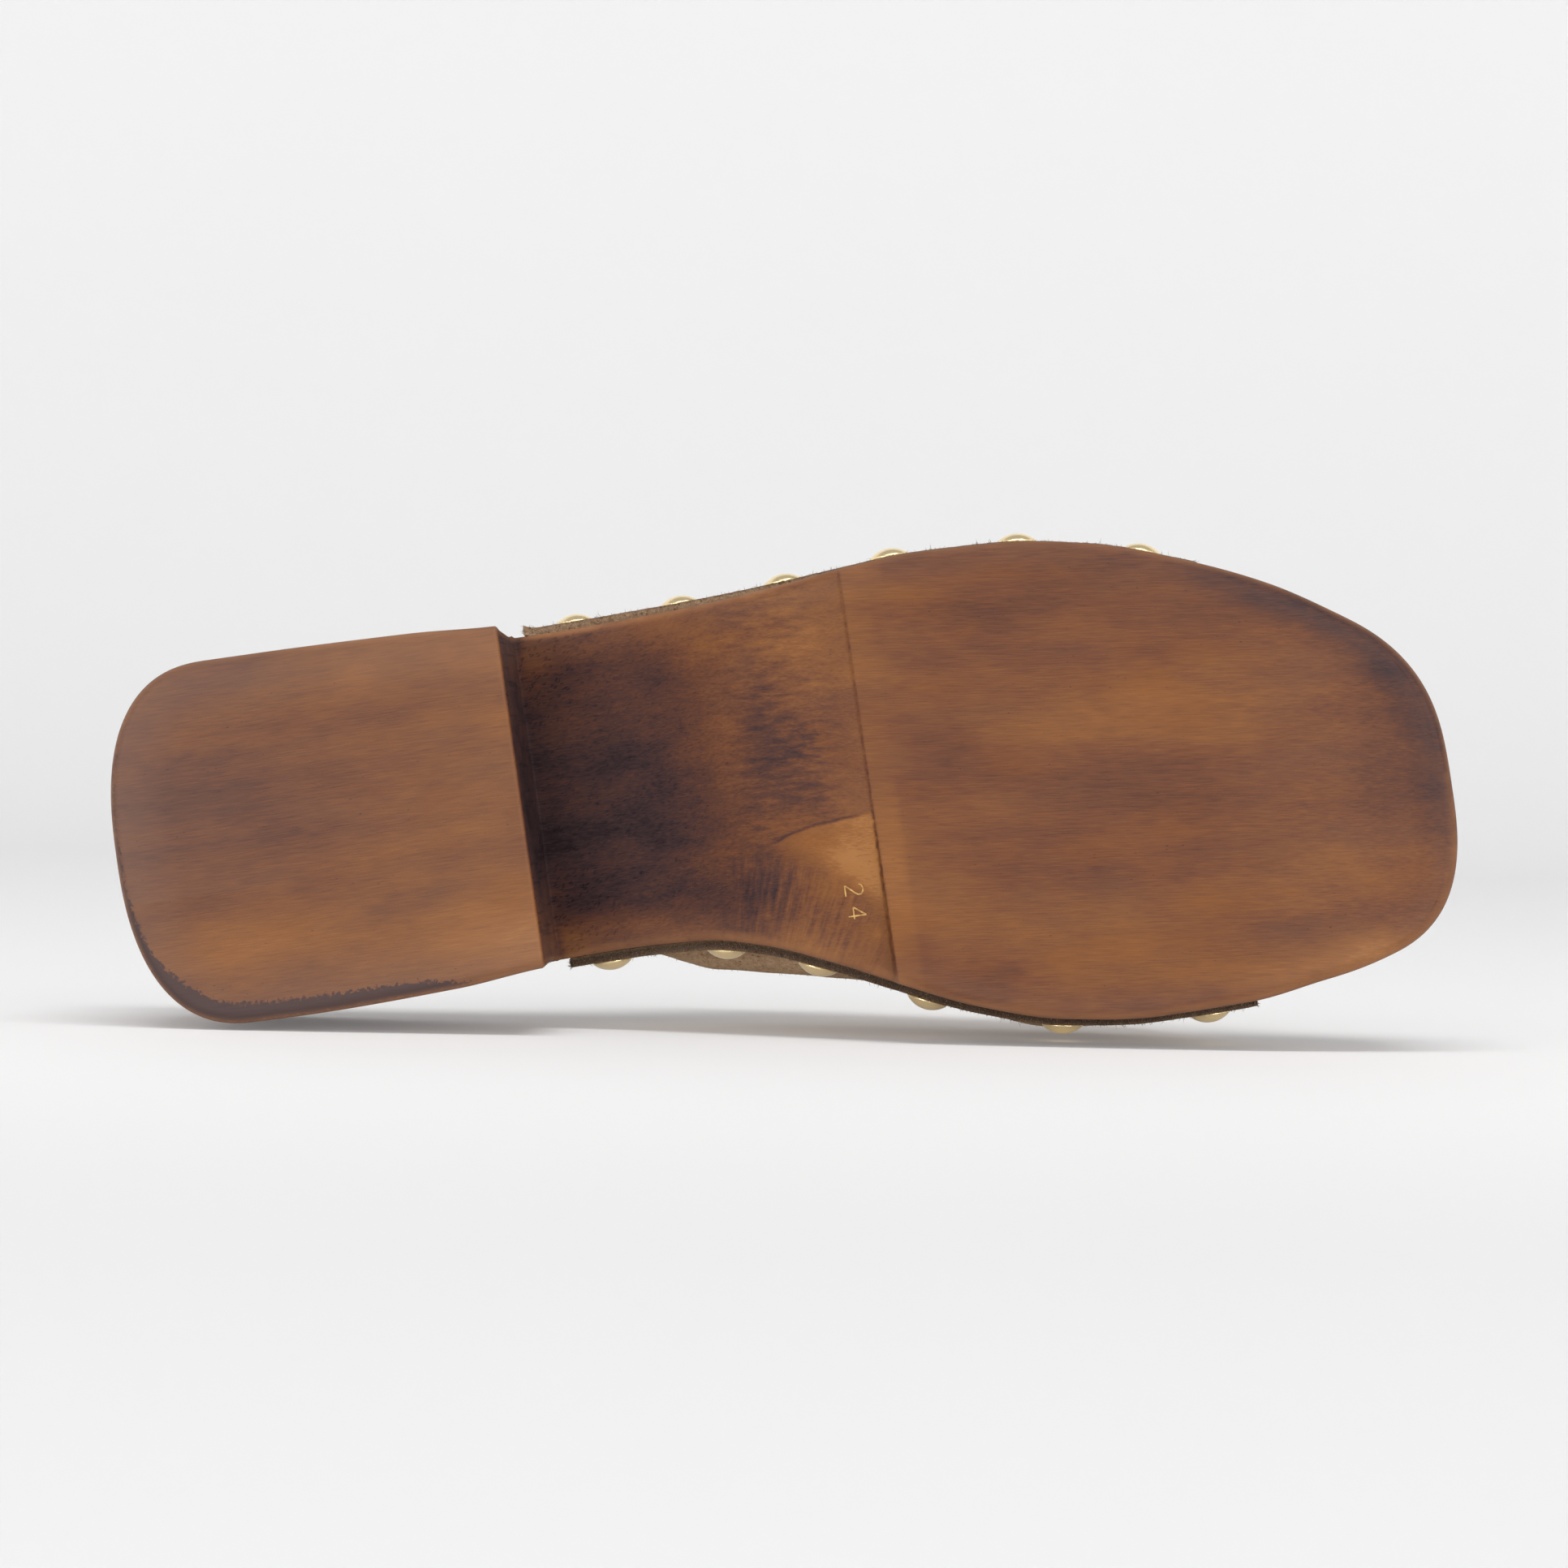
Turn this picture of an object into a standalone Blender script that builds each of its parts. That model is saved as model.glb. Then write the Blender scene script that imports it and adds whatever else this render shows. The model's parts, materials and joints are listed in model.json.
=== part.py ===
"""Clog mule for the right foot: a carved wooden sole with its heel, a suede vamp and brass dome nails.

The shoe is modelled standing: x runs to the toe, y to the inner side of the foot and z up, with the
origin on the ground under the back of the heel. It is then laid on its inner side, so that the heel,
a dome nail and the wall of the vamp all touch the floor at z = 0.
"""

import math

import bmesh
import bpy
import numpy as np
from mathutils import Matrix, Vector

MM = 0.001


def table(columns, rows):
    """Named columns of a table written in millimetres, as arrays in metres."""
    values = np.array(rows, float) * MM
    return {name: values[:, k] for k, name in enumerate(columns.split())}


# Wooden sole
SOLE_LENGTH = 251.5 * MM
HEEL_LENGTH = 77 * MM
BREAST_RUN = 1.5 * MM
BALL_LINE = 142 * MM
BALL_STEP_RUN = 0.6 * MM
TOE_SPRING_START = 205 * MM
TOE_SPRING = 7 * MM
SIDE_DRAFT = math.radians(2)
GROUND_EDGE_RADIUS = 2.2 * MM
FOOTBED_EDGE_RADIUS = 3 * MM

# Plan at the ground: the two side lines, before the ends are rounded
SIDES = table("station outer inner", (
    (0, -33.9, 34.4),
    (32, -33.9, 34.9),
    (60, -33.5, 34.0),
    (77, -32.6, 32.4),
    (95, -32.4, 31.9),
    (107, -32.4, 32.3),
    (118, -32.6, 34.6),
    (130, -33.2, 39.2),
    (142, -34.2, 44.8),
    (156, -35.2, 51.0),
    (172, -34.8, 55.7),
    (190, -32.1, 57.7),
    (207, -26.5, 57.4),
    (222, -20.0, 55.3),
    (236, -11.2, 54.3),
    (251.5, -1.5, 54.3),
))
HEEL_ROUND = 22 * MM
TOE_ROUND_OUTER = 12.5 * MM
TOE_ROUND_INNER = 26 * MM
TOE_MIDDLE = 24 * MM
ROUND_POWER = 2.5

# Footbed: height of its edge, and how far its middle is dished below that edge
FOOTBED = table("station edge dish", (
    (0, 51.0, 0.3),
    (12, 51.0, 2.2),
    (40, 50.0, 3.8),
    (77, 45.5, 2.2),
    (100, 39.0, 1.0),
    (120, 33.4, 0.8),
    (142, 29.2, 1.2),
    (172, 27.5, 1.8),
    (207, 28.0, 1.8),
    (238, 31.0, 0.8),
    (251.5, 32.6, 0.3),
))

# Arch: height of the underside between the heel breast and the ball line
ARCH = table("station height", (
    (78.5, 24.5),
    (90, 21.8),
    (100, 18.4),
    (110, 14.3),
    (121, 9.4),
    (131, 4.9),
    (141.4, 0.6),
))
# A second cut scoops the inner half of the arch, from a crease to the inner edge
SCOOP = table("station crease", (
    (105, 22.0),
    (122, 15.3),
    (130, 13.1),
    (142, 12.0),
))
SCOOP_SLOPE = 0.1

# Mesh of the sole: runs of stations (first, last, steps, crowding towards the first), and columns across
END_STATION = 5 * MM
STATION_RUNS = (
    (END_STATION, HEEL_LENGTH, 12, 1.7),
    (HEEL_LENGTH + BREAST_RUN, BALL_LINE - BALL_STEP_RUN, 12, 1),
    (SOLE_LENGTH - END_STATION, BALL_LINE, 18, 1.6),
)
SOLE_COLUMNS = 14
COLUMN_CROWDING = 0.6
EDGE_ANGLES = (0, math.radians(45), math.radians(90))
SIDE_LEVELS = (1 / 3, 2 / 3)
END_SAMPLES = 400

# Suede vamp, nailed on along the sides of the sole and open at the toe and behind
SUEDE = 1.8 * MM
GAP = 0.3 * MM
VAMP_BACK = 80 * MM
VAMP_FRONT = 209.5 * MM
TOPLINE_RUN = 42 * MM
TOPLINE_POWER = 2.2
TOE_EDGE_CUT = 13 * MM
OUTER_POWER = 2.3
INNER_POWER = 3.2
OVER_FOOT_EASE = 1.4
# Sections: height over the footbed's edge, side place of the crest, depth of the nailed margin, how far
# each wall swells past its margin, and how far up it swells most
VAMP = table("station height crest margin outer_swell inner_swell fullest", (
    (80, 63.0, 3.0, 12.5, 0.5, 0.0, 15),
    (96, 62.0, 4.2, 12.5, 0.5, 0.3, 15),
    (102, 61.5, 4.7, 12.5, 0.5, 2.7, 15),
    (109, 60.5, 5.5, 12.3, 0.5, 4.8, 15),
    (117, 58.0, 7.0, 12.0, 0.5, 4.6, 15),
    (129, 53.5, 9.5, 11.3, 0.5, 2.7, 15),
    (143, 48.5, 13.0, 10.0, 0.5, 0.0, 17),
    (156, 45.0, 17.0, 9.5, 0.5, 0.4, 21),
    (172, 41.5, 21.0, 9.5, 0.5, 2.6, 23),
    (190, 36.0, 24.0, 10.5, 0.4, 1.6, 20),
    (209.5, 31.0, 26.0, 12.5, 0.3, 0.8, 16),
))
VAMP_STEPS = 26
MARGIN_STEPS = 2
ARCH_STEPS = 26

# Dome nails
NAILS = table("outer inner", (
    (90, 88),
    (111, 111),
    (131.5, 128.5),
    (152.5, 148.5),
    (177, 173),
    (200, 201),
))
NAIL_SHARE_OF_MARGIN = 0.53
DOME_RADIUS = 3.9 * MM
DOME_HEIGHT = 1.7 * MM
DOME_LIP = 0.25 * MM
DOME_STEPS = 4
SHANK_RADIUS = 0.9 * MM
SHANK_LENGTH = 9 * MM
SHANK_TIP = 1.2 * MM
TURNED_SIDES = 14
HOLE_SIDES = 8
HOLE_REACH = 3 * MM

SETTLE_STEPS = 60
SMOOTH_ANGLE = math.radians(35)


def along(rows, column, x):
    """A smooth curve through one column of a table, which never overshoots its rows."""
    xs, ys = rows["station"], rows[column]
    x = np.clip(np.asarray(x, float), xs[0], xs[-1])
    step = np.diff(xs)
    rise = np.diff(ys) / step
    slope = np.empty(len(xs))
    slope[0], slope[-1] = rise[0], rise[-1]
    product = rise[:-1] * rise[1:]
    total = rise[:-1] + rise[1:]
    same_way = product > 0
    slope[1:-1] = np.where(same_way, 2 * product / np.where(same_way, total, 1), 0)
    k = np.clip(np.searchsorted(xs, x, side="right") - 1, 0, len(step) - 1)
    t = (x - xs[k]) / step[k]
    start = (1 + 2 * t) * (1 - t) ** 2 * ys[k] + t * (1 - t) ** 2 * step[k] * slope[k]
    end = t**2 * (3 - 2 * t) * ys[k + 1] - t**2 * (1 - t) * step[k] * slope[k + 1]
    return start + end


def round_end(distance, reach):
    """Share of the full half width at a distance from a rounded end of the sole."""
    left = np.clip(1 - np.asarray(distance) / reach, 0, 1)
    return (1 - left**ROUND_POWER) ** (1 / ROUND_POWER)


def side_line(x, side):
    """Side place of the sole's ground outline at a station."""
    toe_round = TOE_ROUND_OUTER if side == "outer" else TOE_ROUND_INNER
    heel = round_end(x, HEEL_ROUND)
    toe = round_end(SOLE_LENGTH - np.asarray(x), toe_round)
    return TOE_MIDDLE + (along(SIDES, side, x) * heel - TOE_MIDDLE) * toe


def end_line(y, at_toe):
    """Station of the rounded heel or toe end at a side place."""
    depth = END_STATION * np.linspace(0, 1, END_SAMPLES) ** 2
    x = SOLE_LENGTH - depth if at_toe else depth
    places = np.concatenate([side_line(x[::-1], "outer"), side_line(x, "inner")])
    return np.interp(y, places, np.concatenate([x[::-1], x]))


def sole_stations():
    """Stations of the sole's cross rows, from the heel's corners to the toe's corners."""
    runs = [first + (last - first) * np.linspace(0, 1, steps + 1) ** crowding
            for first, last, steps, crowding in STATION_RUNS]
    return np.sort(np.concatenate(runs))


def column_shares():
    """Shares of the way across the sole of its columns, which crowd towards both sides."""
    even = np.linspace(0, 1, SOLE_COLUMNS + 1)
    return even - COLUMN_CROWDING * np.sin(2 * math.pi * even) / (2 * math.pi)


def ground_ring():
    """Outline on the ground, once round: outer side, toe, inner side, back of the heel."""
    x = sole_stations()
    share = column_shares()[1:-1]
    outer, inner = side_line(x, "outer"), side_line(x, "inner")
    toe_y = outer[-1] + (inner[-1] - outer[-1]) * share
    heel_y = inner[0] + (outer[0] - inner[0]) * share
    xs = np.concatenate([x, end_line(toe_y, True), x[::-1], end_line(heel_y, False)])
    ys = np.concatenate([outer, toe_y, inner[::-1], heel_y])
    return np.stack([xs, ys], axis=1)


def outward(ring):
    """Unit normals of a closed ring that runs from the outer side to the toe."""
    run = np.roll(ring, -1, axis=0) - np.roll(ring, 1, axis=0)
    normal = np.stack([run[:, 1], -run[:, 0]], axis=1)
    return normal / np.linalg.norm(normal, axis=1)[:, None]


def moved_in(ring, normal, distance):
    """The ring moved inwards. Points on the long sides stay on their stations."""
    on_side = np.abs(normal[:, 1]) > np.abs(normal[:, 0])
    across = np.zeros_like(ring)
    across[:, 1] = 1 / np.where(on_side, normal[:, 1], 1)
    return ring - np.where(on_side[:, None], across, normal) * np.asarray(distance)[:, None]


def underside(x, y):
    """Height of the sole's lower face: heel, arch with its inner scoop, tread and toe spring."""
    arch = along(ARCH, "height", x)
    into_scoop = np.clip(y - along(SCOOP, "crease", x), 0, None)
    fade = np.clip((x - SCOOP["station"][0]) / (BALL_LINE - SCOOP["station"][0]), 0, 1)
    arch = arch + SCOOP_SLOPE * fade * into_scoop
    spring = np.clip((x - TOE_SPRING_START) / (SOLE_LENGTH - TOE_SPRING_START), 0, 1)
    under_arch = (x > HEEL_LENGTH + BREAST_RUN / 2) & (x < BALL_LINE - BALL_STEP_RUN / 2)
    return np.where(under_arch, arch, TOE_SPRING * spring**2)


def footbed(x, share):
    """Height of the sole's upper face at a station and a share of the way across."""
    bowl = 1 - (2 * np.asarray(share) - 1) ** 2
    return along(FOOTBED, "edge", x) - along(FOOTBED, "dish", x) * bowl


def sole_rings():
    """Rings of the sole's side, from the edge of the ground face up to the edge of the footbed."""
    ring = ground_ring()
    normal = outward(ring)
    draft = math.tan(SIDE_DRAFT)
    low = moved_in(ring, normal, np.full(len(ring), GROUND_EDGE_RADIUS))
    foot = underside(low[:, 0], low[:, 1])
    top = along(FOOTBED, "edge", ring[:, 0])
    steps = [(GROUND_EDGE_RADIUS * (1 - math.sin(a)), foot + GROUND_EDGE_RADIUS * (1 - math.cos(a)))
             for a in EDGE_ANGLES]
    side_low, side_high = foot + GROUND_EDGE_RADIUS, top - FOOTBED_EDGE_RADIUS
    steps += [(0, side_low + (side_high - side_low) * level) for level in SIDE_LEVELS]
    steps += [(FOOTBED_EDGE_RADIUS * (1 - math.sin(a)), top - FOOTBED_EDGE_RADIUS * (1 - math.cos(a)))
              for a in reversed(EDGE_ANGLES)]
    rings = []
    for inset, height in steps:
        plan = moved_in(ring, normal, inset + draft * height)
        rings.append(np.column_stack([plan, height]))
    return rings


def ring_index(row, column, rows, columns):
    """Place on the closed ring of a point on the edge of the rows-by-columns face, or None inside it."""
    if column == 0:
        return row
    if row == rows:
        return rows + column
    if column == columns:
        return 2 * rows + columns - row
    if row == 0:
        return 2 * rows + 2 * columns - column
    return None


def fill_face(mesh, ring, height_of):
    """Fills a ring with cross rows, whose inner points take their height from a function."""
    rows = len(sole_stations()) - 1
    columns = SOLE_COLUMNS
    shares = column_shares()
    grid = {}
    for row in range(rows + 1):
        left = ring[ring_index(row, 0, rows, columns)].co
        right = ring[ring_index(row, columns, rows, columns)].co
        for column in range(columns + 1):
            k = ring_index(row, column, rows, columns)
            place = left.lerp(right, shares[column])
            place.z = float(height_of(place.x, place.y, shares[column]))
            grid[row, column] = mesh.verts.new(place) if k is None else ring[k]
    for row in range(rows):
        for column in range(columns):
            mesh.faces.new([grid[row, column], grid[row + 1, column],
                            grid[row + 1, column + 1], grid[row, column + 1]])


def finished(name, mesh, material):
    """A named object from a bmesh, with outward faces and smooth shading between its edges."""
    bmesh.ops.recalc_face_normals(mesh, faces=mesh.faces)
    data = bpy.data.meshes.new(name)
    mesh.to_mesh(data)
    mesh.free()
    data.shade_smooth()
    data.set_sharp_from_angle(angle=SMOOTH_ANGLE)
    data.materials.append(material)
    thing = bpy.data.objects.new(name, data)
    bpy.context.scene.collection.objects.link(thing)
    return thing


def finish(name, colour, roughness, metallic=0.0):
    """A plain material."""
    material = bpy.data.materials.new(name)
    material.use_nodes = True
    shader = material.node_tree.nodes["Principled BSDF"]
    shader.inputs["Base Color"].default_value = (*colour, 1)
    shader.inputs["Roughness"].default_value = roughness
    shader.inputs["Metallic"].default_value = metallic
    return material


def wooden_sole(material):
    """One block of wood: heel, arch, tread and footbed."""
    mesh = bmesh.new()
    rings = [[mesh.verts.new(point) for point in ring] for ring in sole_rings()]
    for lower, upper in zip(rings, rings[1:]):
        for k in range(len(lower)):
            after = (k + 1) % len(lower)
            mesh.faces.new([lower[k], lower[after], upper[after], upper[k]])
    fill_face(mesh, rings[0], lambda x, y, share: underside(x, y))
    fill_face(mesh, rings[-1], lambda x, y, share: footbed(x, share))
    return finished("wooden_sole", mesh, material)


def side_wall(x, z, side):
    """Side place of the wood's wall at a station and a height."""
    slope = (side_line(x + MM, side) - side_line(x - MM, side)) / (2 * MM)
    draft = math.tan(SIDE_DRAFT) * np.asarray(z) * np.sqrt(1 + slope**2)
    return side_line(x, side) + (draft if side == "outer" else -draft)


def vamp_lines():
    """Lines of the vamp from the outer margin over the foot to the inner margin.

    Each line is (side, share of the nailed margin still to climb, turn over the foot from 0 to 1).
    """
    climb = np.linspace(1, 0, MARGIN_STEPS + 1)[:-1]
    margin = [("outer", c, 0.0) for c in climb]
    over = [("outer" if t < 0.5 else "inner", 0.0, t) for t in np.linspace(0, 1, ARCH_STEPS + 1)]
    return margin + over + [("inner", c, 1.0) for c in climb[::-1]]


def over_foot(side, turn):
    """How far out from the crest and how far up to it a line runs, as shares of the section's size."""
    power = INNER_POWER if side == "inner" else OUTER_POWER
    angle = math.pi / 2 * (1 - abs(1 - 2 * turn)) ** OVER_FOOT_EASE
    return abs(math.cos(angle)) ** (2 / power), abs(math.sin(angle)) ** (2 / power)


def vamp_point(x, side, climb, turn):
    """Point of the vamp's inner face at a station."""
    edge = float(along(FOOTBED, "edge", x))
    away = GAP if side == "inner" else -GAP
    if climb > 0:
        z = edge - float(along(VAMP, "margin", x)) * climb
        return Vector((x, float(side_wall(x, z, side)) + away, z))
    foot = float(side_wall(x, edge, side)) + away
    crest = float(along(VAMP, "crest", x))
    height = float(along(VAMP, "height", x))
    out, up = over_foot(side, turn)
    fullest = float(along(VAMP, "fullest", x)) / height
    swell = math.sin(math.pi * up ** (math.log(0.5) / math.log(fullest))) ** 2
    swell *= float(along(VAMP, side + "_swell", x)) * (1 if side == "inner" else -1)
    return Vector((x, crest + (foot - crest) * out + swell, edge + height * up))


def vamp_stations(side, climb, turn):
    """Stations along one line of the vamp, between its topline and its toe edge."""
    up = 0.0 if climb > 0 else over_foot(side, turn)[1]
    back = VAMP_BACK + TOPLINE_RUN * (1 - (1 - up) ** TOPLINE_POWER)
    front = VAMP_FRONT - TOE_EDGE_CUT * math.sin(up * math.pi / 2) ** 2
    return np.linspace(back, front, VAMP_STEPS + 1)


def suede_vamp(material):
    """The upper: one hollow wall of suede over the foot."""
    mesh = bmesh.new()
    lines = []
    for side, climb, turn in vamp_lines():
        stations = vamp_stations(side, climb, turn)
        lines.append([mesh.verts.new(vamp_point(x, side, climb, turn)) for x in stations])
    for line, after in zip(lines, lines[1:]):
        for k in range(VAMP_STEPS):
            mesh.faces.new([line[k], after[k], after[k + 1], line[k + 1]])
    vamp = finished("suede_vamp", mesh, material)
    wall = vamp.modifiers.new("suede", "SOLIDIFY")
    wall.thickness = SUEDE
    wall.offset = 1 if vamp.data.polygons[len(vamp.data.polygons) // 2].normal.z > 0 else -1
    wall.use_even_offset = True
    return vamp


def turned(name, profile, sides):
    """A mesh turned about z from (radius, height) pairs that start and end on the axis."""
    mesh = bmesh.new()
    rings = []
    for radius, height in profile:
        if radius == 0:
            rings.append([mesh.verts.new((0, 0, height))] * sides)
            continue
        angles = [2 * math.pi * k / sides for k in range(sides)]
        rings.append([mesh.verts.new((radius * math.cos(a), radius * math.sin(a), height)) for a in angles])
    for upper, lower in zip(rings, rings[1:]):
        for k in range(sides):
            after = (k + 1) % sides
            corners = [upper[k], lower[k], lower[after], upper[after]]
            mesh.faces.new(list(dict.fromkeys(corners)))
    bmesh.ops.recalc_face_normals(mesh, faces=mesh.faces)
    data = bpy.data.meshes.new(name)
    mesh.to_mesh(data)
    mesh.free()
    data.shade_smooth()
    data.set_sharp_from_angle(angle=SMOOTH_ANGLE)
    return data


def nail_mesh(material):
    """Dome head and pointed shank, with the head's underside at z = 0."""
    dome = []
    for k in range(DOME_STEPS + 1):
        angle = math.pi / 2 * k / DOME_STEPS
        dome.append((DOME_RADIUS * math.sin(angle), DOME_LIP + (DOME_HEIGHT - DOME_LIP) * math.cos(angle)))
    point = SHANK_TIP - SHANK_LENGTH
    shank = [(DOME_RADIUS, 0), (SHANK_RADIUS, 0), (SHANK_RADIUS, point), (0, -SHANK_LENGTH)]
    data = turned("dome_nail", dome + shank, TURNED_SIDES)
    data.materials.append(material)
    return data


def nail_place(x, side):
    """Where a dome nail sits: its head on the suede, its shank square into the wood."""
    z = float(along(FOOTBED, "edge", x) - NAIL_SHARE_OF_MARGIN * along(VAMP, "margin", x))
    before, after = (Vector((x + d, float(side_wall(x + d, z, side)), z)) for d in (-MM, MM))
    flat = (after - before).cross(Vector((0, 0, 1))).normalized()
    out = flat if (flat.y > 0) == (side == "inner") else -flat
    out = (out * math.cos(SIDE_DRAFT) + Vector((0, 0, math.sin(SIDE_DRAFT)))).normalized()
    wood = Vector((x, float(side_wall(x, z, side)), z))
    seat = wood + out * (GAP + SUEDE + GAP)
    return Matrix.Translation(seat) @ out.to_track_quat("Z", "X").to_matrix().to_4x4()


def nail_holes(places):
    """Cutter for the holes that the shanks pass through."""
    depth = SHANK_LENGTH + GAP
    radius = SHANK_RADIUS + GAP
    profile = [(0, HOLE_REACH), (radius, HOLE_REACH), (radius, -depth), (0, -depth)]
    drill = turned("drill", profile, HOLE_SIDES)
    mesh = bmesh.new()
    for place in places:
        copy = drill.copy()
        copy.transform(place)
        mesh.from_mesh(copy)
    data = bpy.data.meshes.new("nail_holes")
    mesh.to_mesh(data)
    mesh.free()
    cutter = bpy.data.objects.new("nail_holes", data)
    cutter.hide_render = True
    cutter.display_type = "WIRE"
    bpy.context.scene.collection.objects.link(cutter)
    return cutter


def drilled(thing, cutter):
    """Cuts the nail holes from a piece."""
    cut = thing.modifiers.new("nail_holes", "BOOLEAN")
    cut.operation = "DIFFERENCE"
    cut.object = cutter


def dome_nails(material):
    """The nails of both sides, each its own object."""
    data = nail_mesh(material)
    nails = {}
    for side in ("outer", "inner"):
        for number, x in enumerate(NAILS[side], start=1):
            nail = bpy.data.objects.new(f"nail_{side}_{number}", data)
            nail.matrix_world = nail_place(float(x), side)
            bpy.context.scene.collection.objects.link(nail)
            nails[nail.name] = nail
    return nails


def points_of(things):
    """Vertices of the finished pieces, in the world."""
    bpy.context.view_layer.update()
    graph = bpy.context.evaluated_depsgraph_get()
    found = []
    for thing in things:
        shown = thing.evaluated_get(graph)
        found += [shown.matrix_world @ vertex.co for vertex in shown.data.vertices]
    return np.array(found)


def lying(points, lean, roll):
    """Points with the shoe on its inner side, its toe raised by roll and the vamp lowered by lean."""
    turn = Matrix.Rotation(-math.pi / 2 - lean, 3, "X") @ Matrix.Rotation(-roll, 3, "Z")
    return points @ np.array(turn).T


def resting_angles(sole, vamp, nails):
    """The lean and roll at which heel, inner nails and vamp all touch one floor."""
    wood = points_of([sole])
    groups = [wood[wood[:, 0] <= HEEL_LENGTH], points_of(nails), points_of([vamp])]
    lean = roll = 0.0
    for _ in range(SETTLE_STEPS):
        lowest = []
        for group in groups:
            placed = lying(group, lean, roll)
            lowest.append(placed[placed[:, 2].argmin()])
        heel, nail, wall = lowest
        roll -= math.atan2(nail[2] - heel[2], nail[0] - heel[0])
        lean += math.atan2(wall[2] - nail[2], wall[1] - nail[1])
    return lean, roll


def lay_down(things, lean, roll):
    """Parents the pieces to one empty that lays the shoe on the floor, centred over the origin."""
    placed = lying(points_of(things), lean, roll)
    low, high = placed.min(axis=0), placed.max(axis=0)
    rest = bpy.data.objects.new("rest", None)
    rest.rotation_mode = "ZYX"
    rest.rotation_euler = (-math.pi / 2 - lean, 0, -roll)
    rest.location = (-(low[0] + high[0]) / 2, -(low[1] + high[1]) / 2, -low[2])
    bpy.context.scene.collection.objects.link(rest)
    for thing in things:
        thing.parent = rest
    bpy.context.view_layer.update()


def main():
    for thing in list(bpy.data.objects):
        bpy.data.objects.remove(thing)
    sole = wooden_sole(finish("stained_wood", (0.22, 0.09, 0.035), 0.45))
    vamp = suede_vamp(finish("brown_suede", (0.13, 0.08, 0.045), 0.95))
    nails = dome_nails(finish("polished_brass", (0.83, 0.63, 0.27), 0.2, metallic=1.0))
    cutter = nail_holes([nail.matrix_world.copy() for nail in nails.values()])
    inner = [nail for name, nail in nails.items() if "inner" in name]
    lean, roll = resting_angles(sole, vamp, inner)
    for piece in (sole, vamp):
        drilled(piece, cutter)
    lay_down([sole, vamp, cutter, *nails.values()], lean, roll)


main()
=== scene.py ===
"""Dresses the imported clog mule: stained wooden sole, suede vamp, brass nails, pale studio.

Sizes are millimetres in the standing shoe's own axes: x runs to the toe, y to the inner side of the
foot and z up, with the origin on the ground under the back of the heel.
"""

import json
import logging
import math
from dataclasses import dataclass
from enum import Enum
from typing import Any

import bpy
import numpy as np
from mathutils import Matrix, Vector
from mathutils.kdtree import KDTree


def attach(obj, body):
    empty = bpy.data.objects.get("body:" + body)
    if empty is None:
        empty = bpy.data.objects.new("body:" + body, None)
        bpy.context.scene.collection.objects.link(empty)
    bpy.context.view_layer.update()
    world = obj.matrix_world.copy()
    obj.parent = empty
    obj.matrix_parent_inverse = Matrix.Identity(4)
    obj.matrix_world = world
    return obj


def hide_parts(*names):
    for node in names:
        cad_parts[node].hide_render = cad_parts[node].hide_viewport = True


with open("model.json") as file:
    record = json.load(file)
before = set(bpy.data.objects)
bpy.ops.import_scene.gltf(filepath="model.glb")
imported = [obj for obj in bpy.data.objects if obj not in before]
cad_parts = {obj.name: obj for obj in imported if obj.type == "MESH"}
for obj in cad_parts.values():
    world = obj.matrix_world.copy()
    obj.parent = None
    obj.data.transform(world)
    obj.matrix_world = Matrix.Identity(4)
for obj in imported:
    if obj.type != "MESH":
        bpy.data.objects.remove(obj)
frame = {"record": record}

MM = 0.001
BODY = "root"
IMAGE_PIXELS = 1932

Array = np.ndarray
Rows = tuple[tuple[float, ...], ...]
Triple = tuple[float, float, float]
Colour = Triple
Stops = tuple[tuple[float, Colour], ...]
Cloud = tuple[float, float, float, float]
Fleck = tuple[float, float, float, float, float]
Material = bpy.types.Material
Node = bpy.types.Node
Piece = bpy.types.Object
Socket = bpy.types.NodeSocket

log = logging.getLogger("clog_mule")


class Side(Enum):
    """The two sides of the foot."""

    OUTER = "outer"
    INNER = "inner"

    @property
    def sign(self) -> int:
        """Direction of the side along y."""
        return -1 if self is Side.OUTER else 1


class Slot(Enum):
    """Material slots of the record."""

    WOOD = "stained_wood"
    SUEDE = "brown_suede"
    BRASS = "brass"


def seen(red: int, green: int, blue: int) -> Colour:
    """Turns a screen colour, from 0 to 255, into scene light."""
    shares = [value / 255 for value in (red, green, blue)]
    return tuple(s / 12.92 if s <= 0.04045 else ((s + 0.055) / 1.055) ** 2.4 for s in shares)


def smooth(low: float, high: float, value: Array) -> Array:
    """Rises smoothly from 0 to 1 between two values."""
    share = np.clip((np.asarray(value, float) - low) / (high - low), 0, 1)
    return share * share * (3 - 2 * share)


def fall(low: float, high: float, value: Array) -> Array:
    """Falls smoothly from 1 to 0 between two values."""
    return 1 - smooth(low, high, value)


def band(rise: tuple[float, float], drop: tuple[float, float], value: Array) -> Array:
    """Rises smoothly from 0 to 1 over one stretch and falls back over another."""
    return smooth(*rise, value) * fall(*drop, value)


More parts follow.
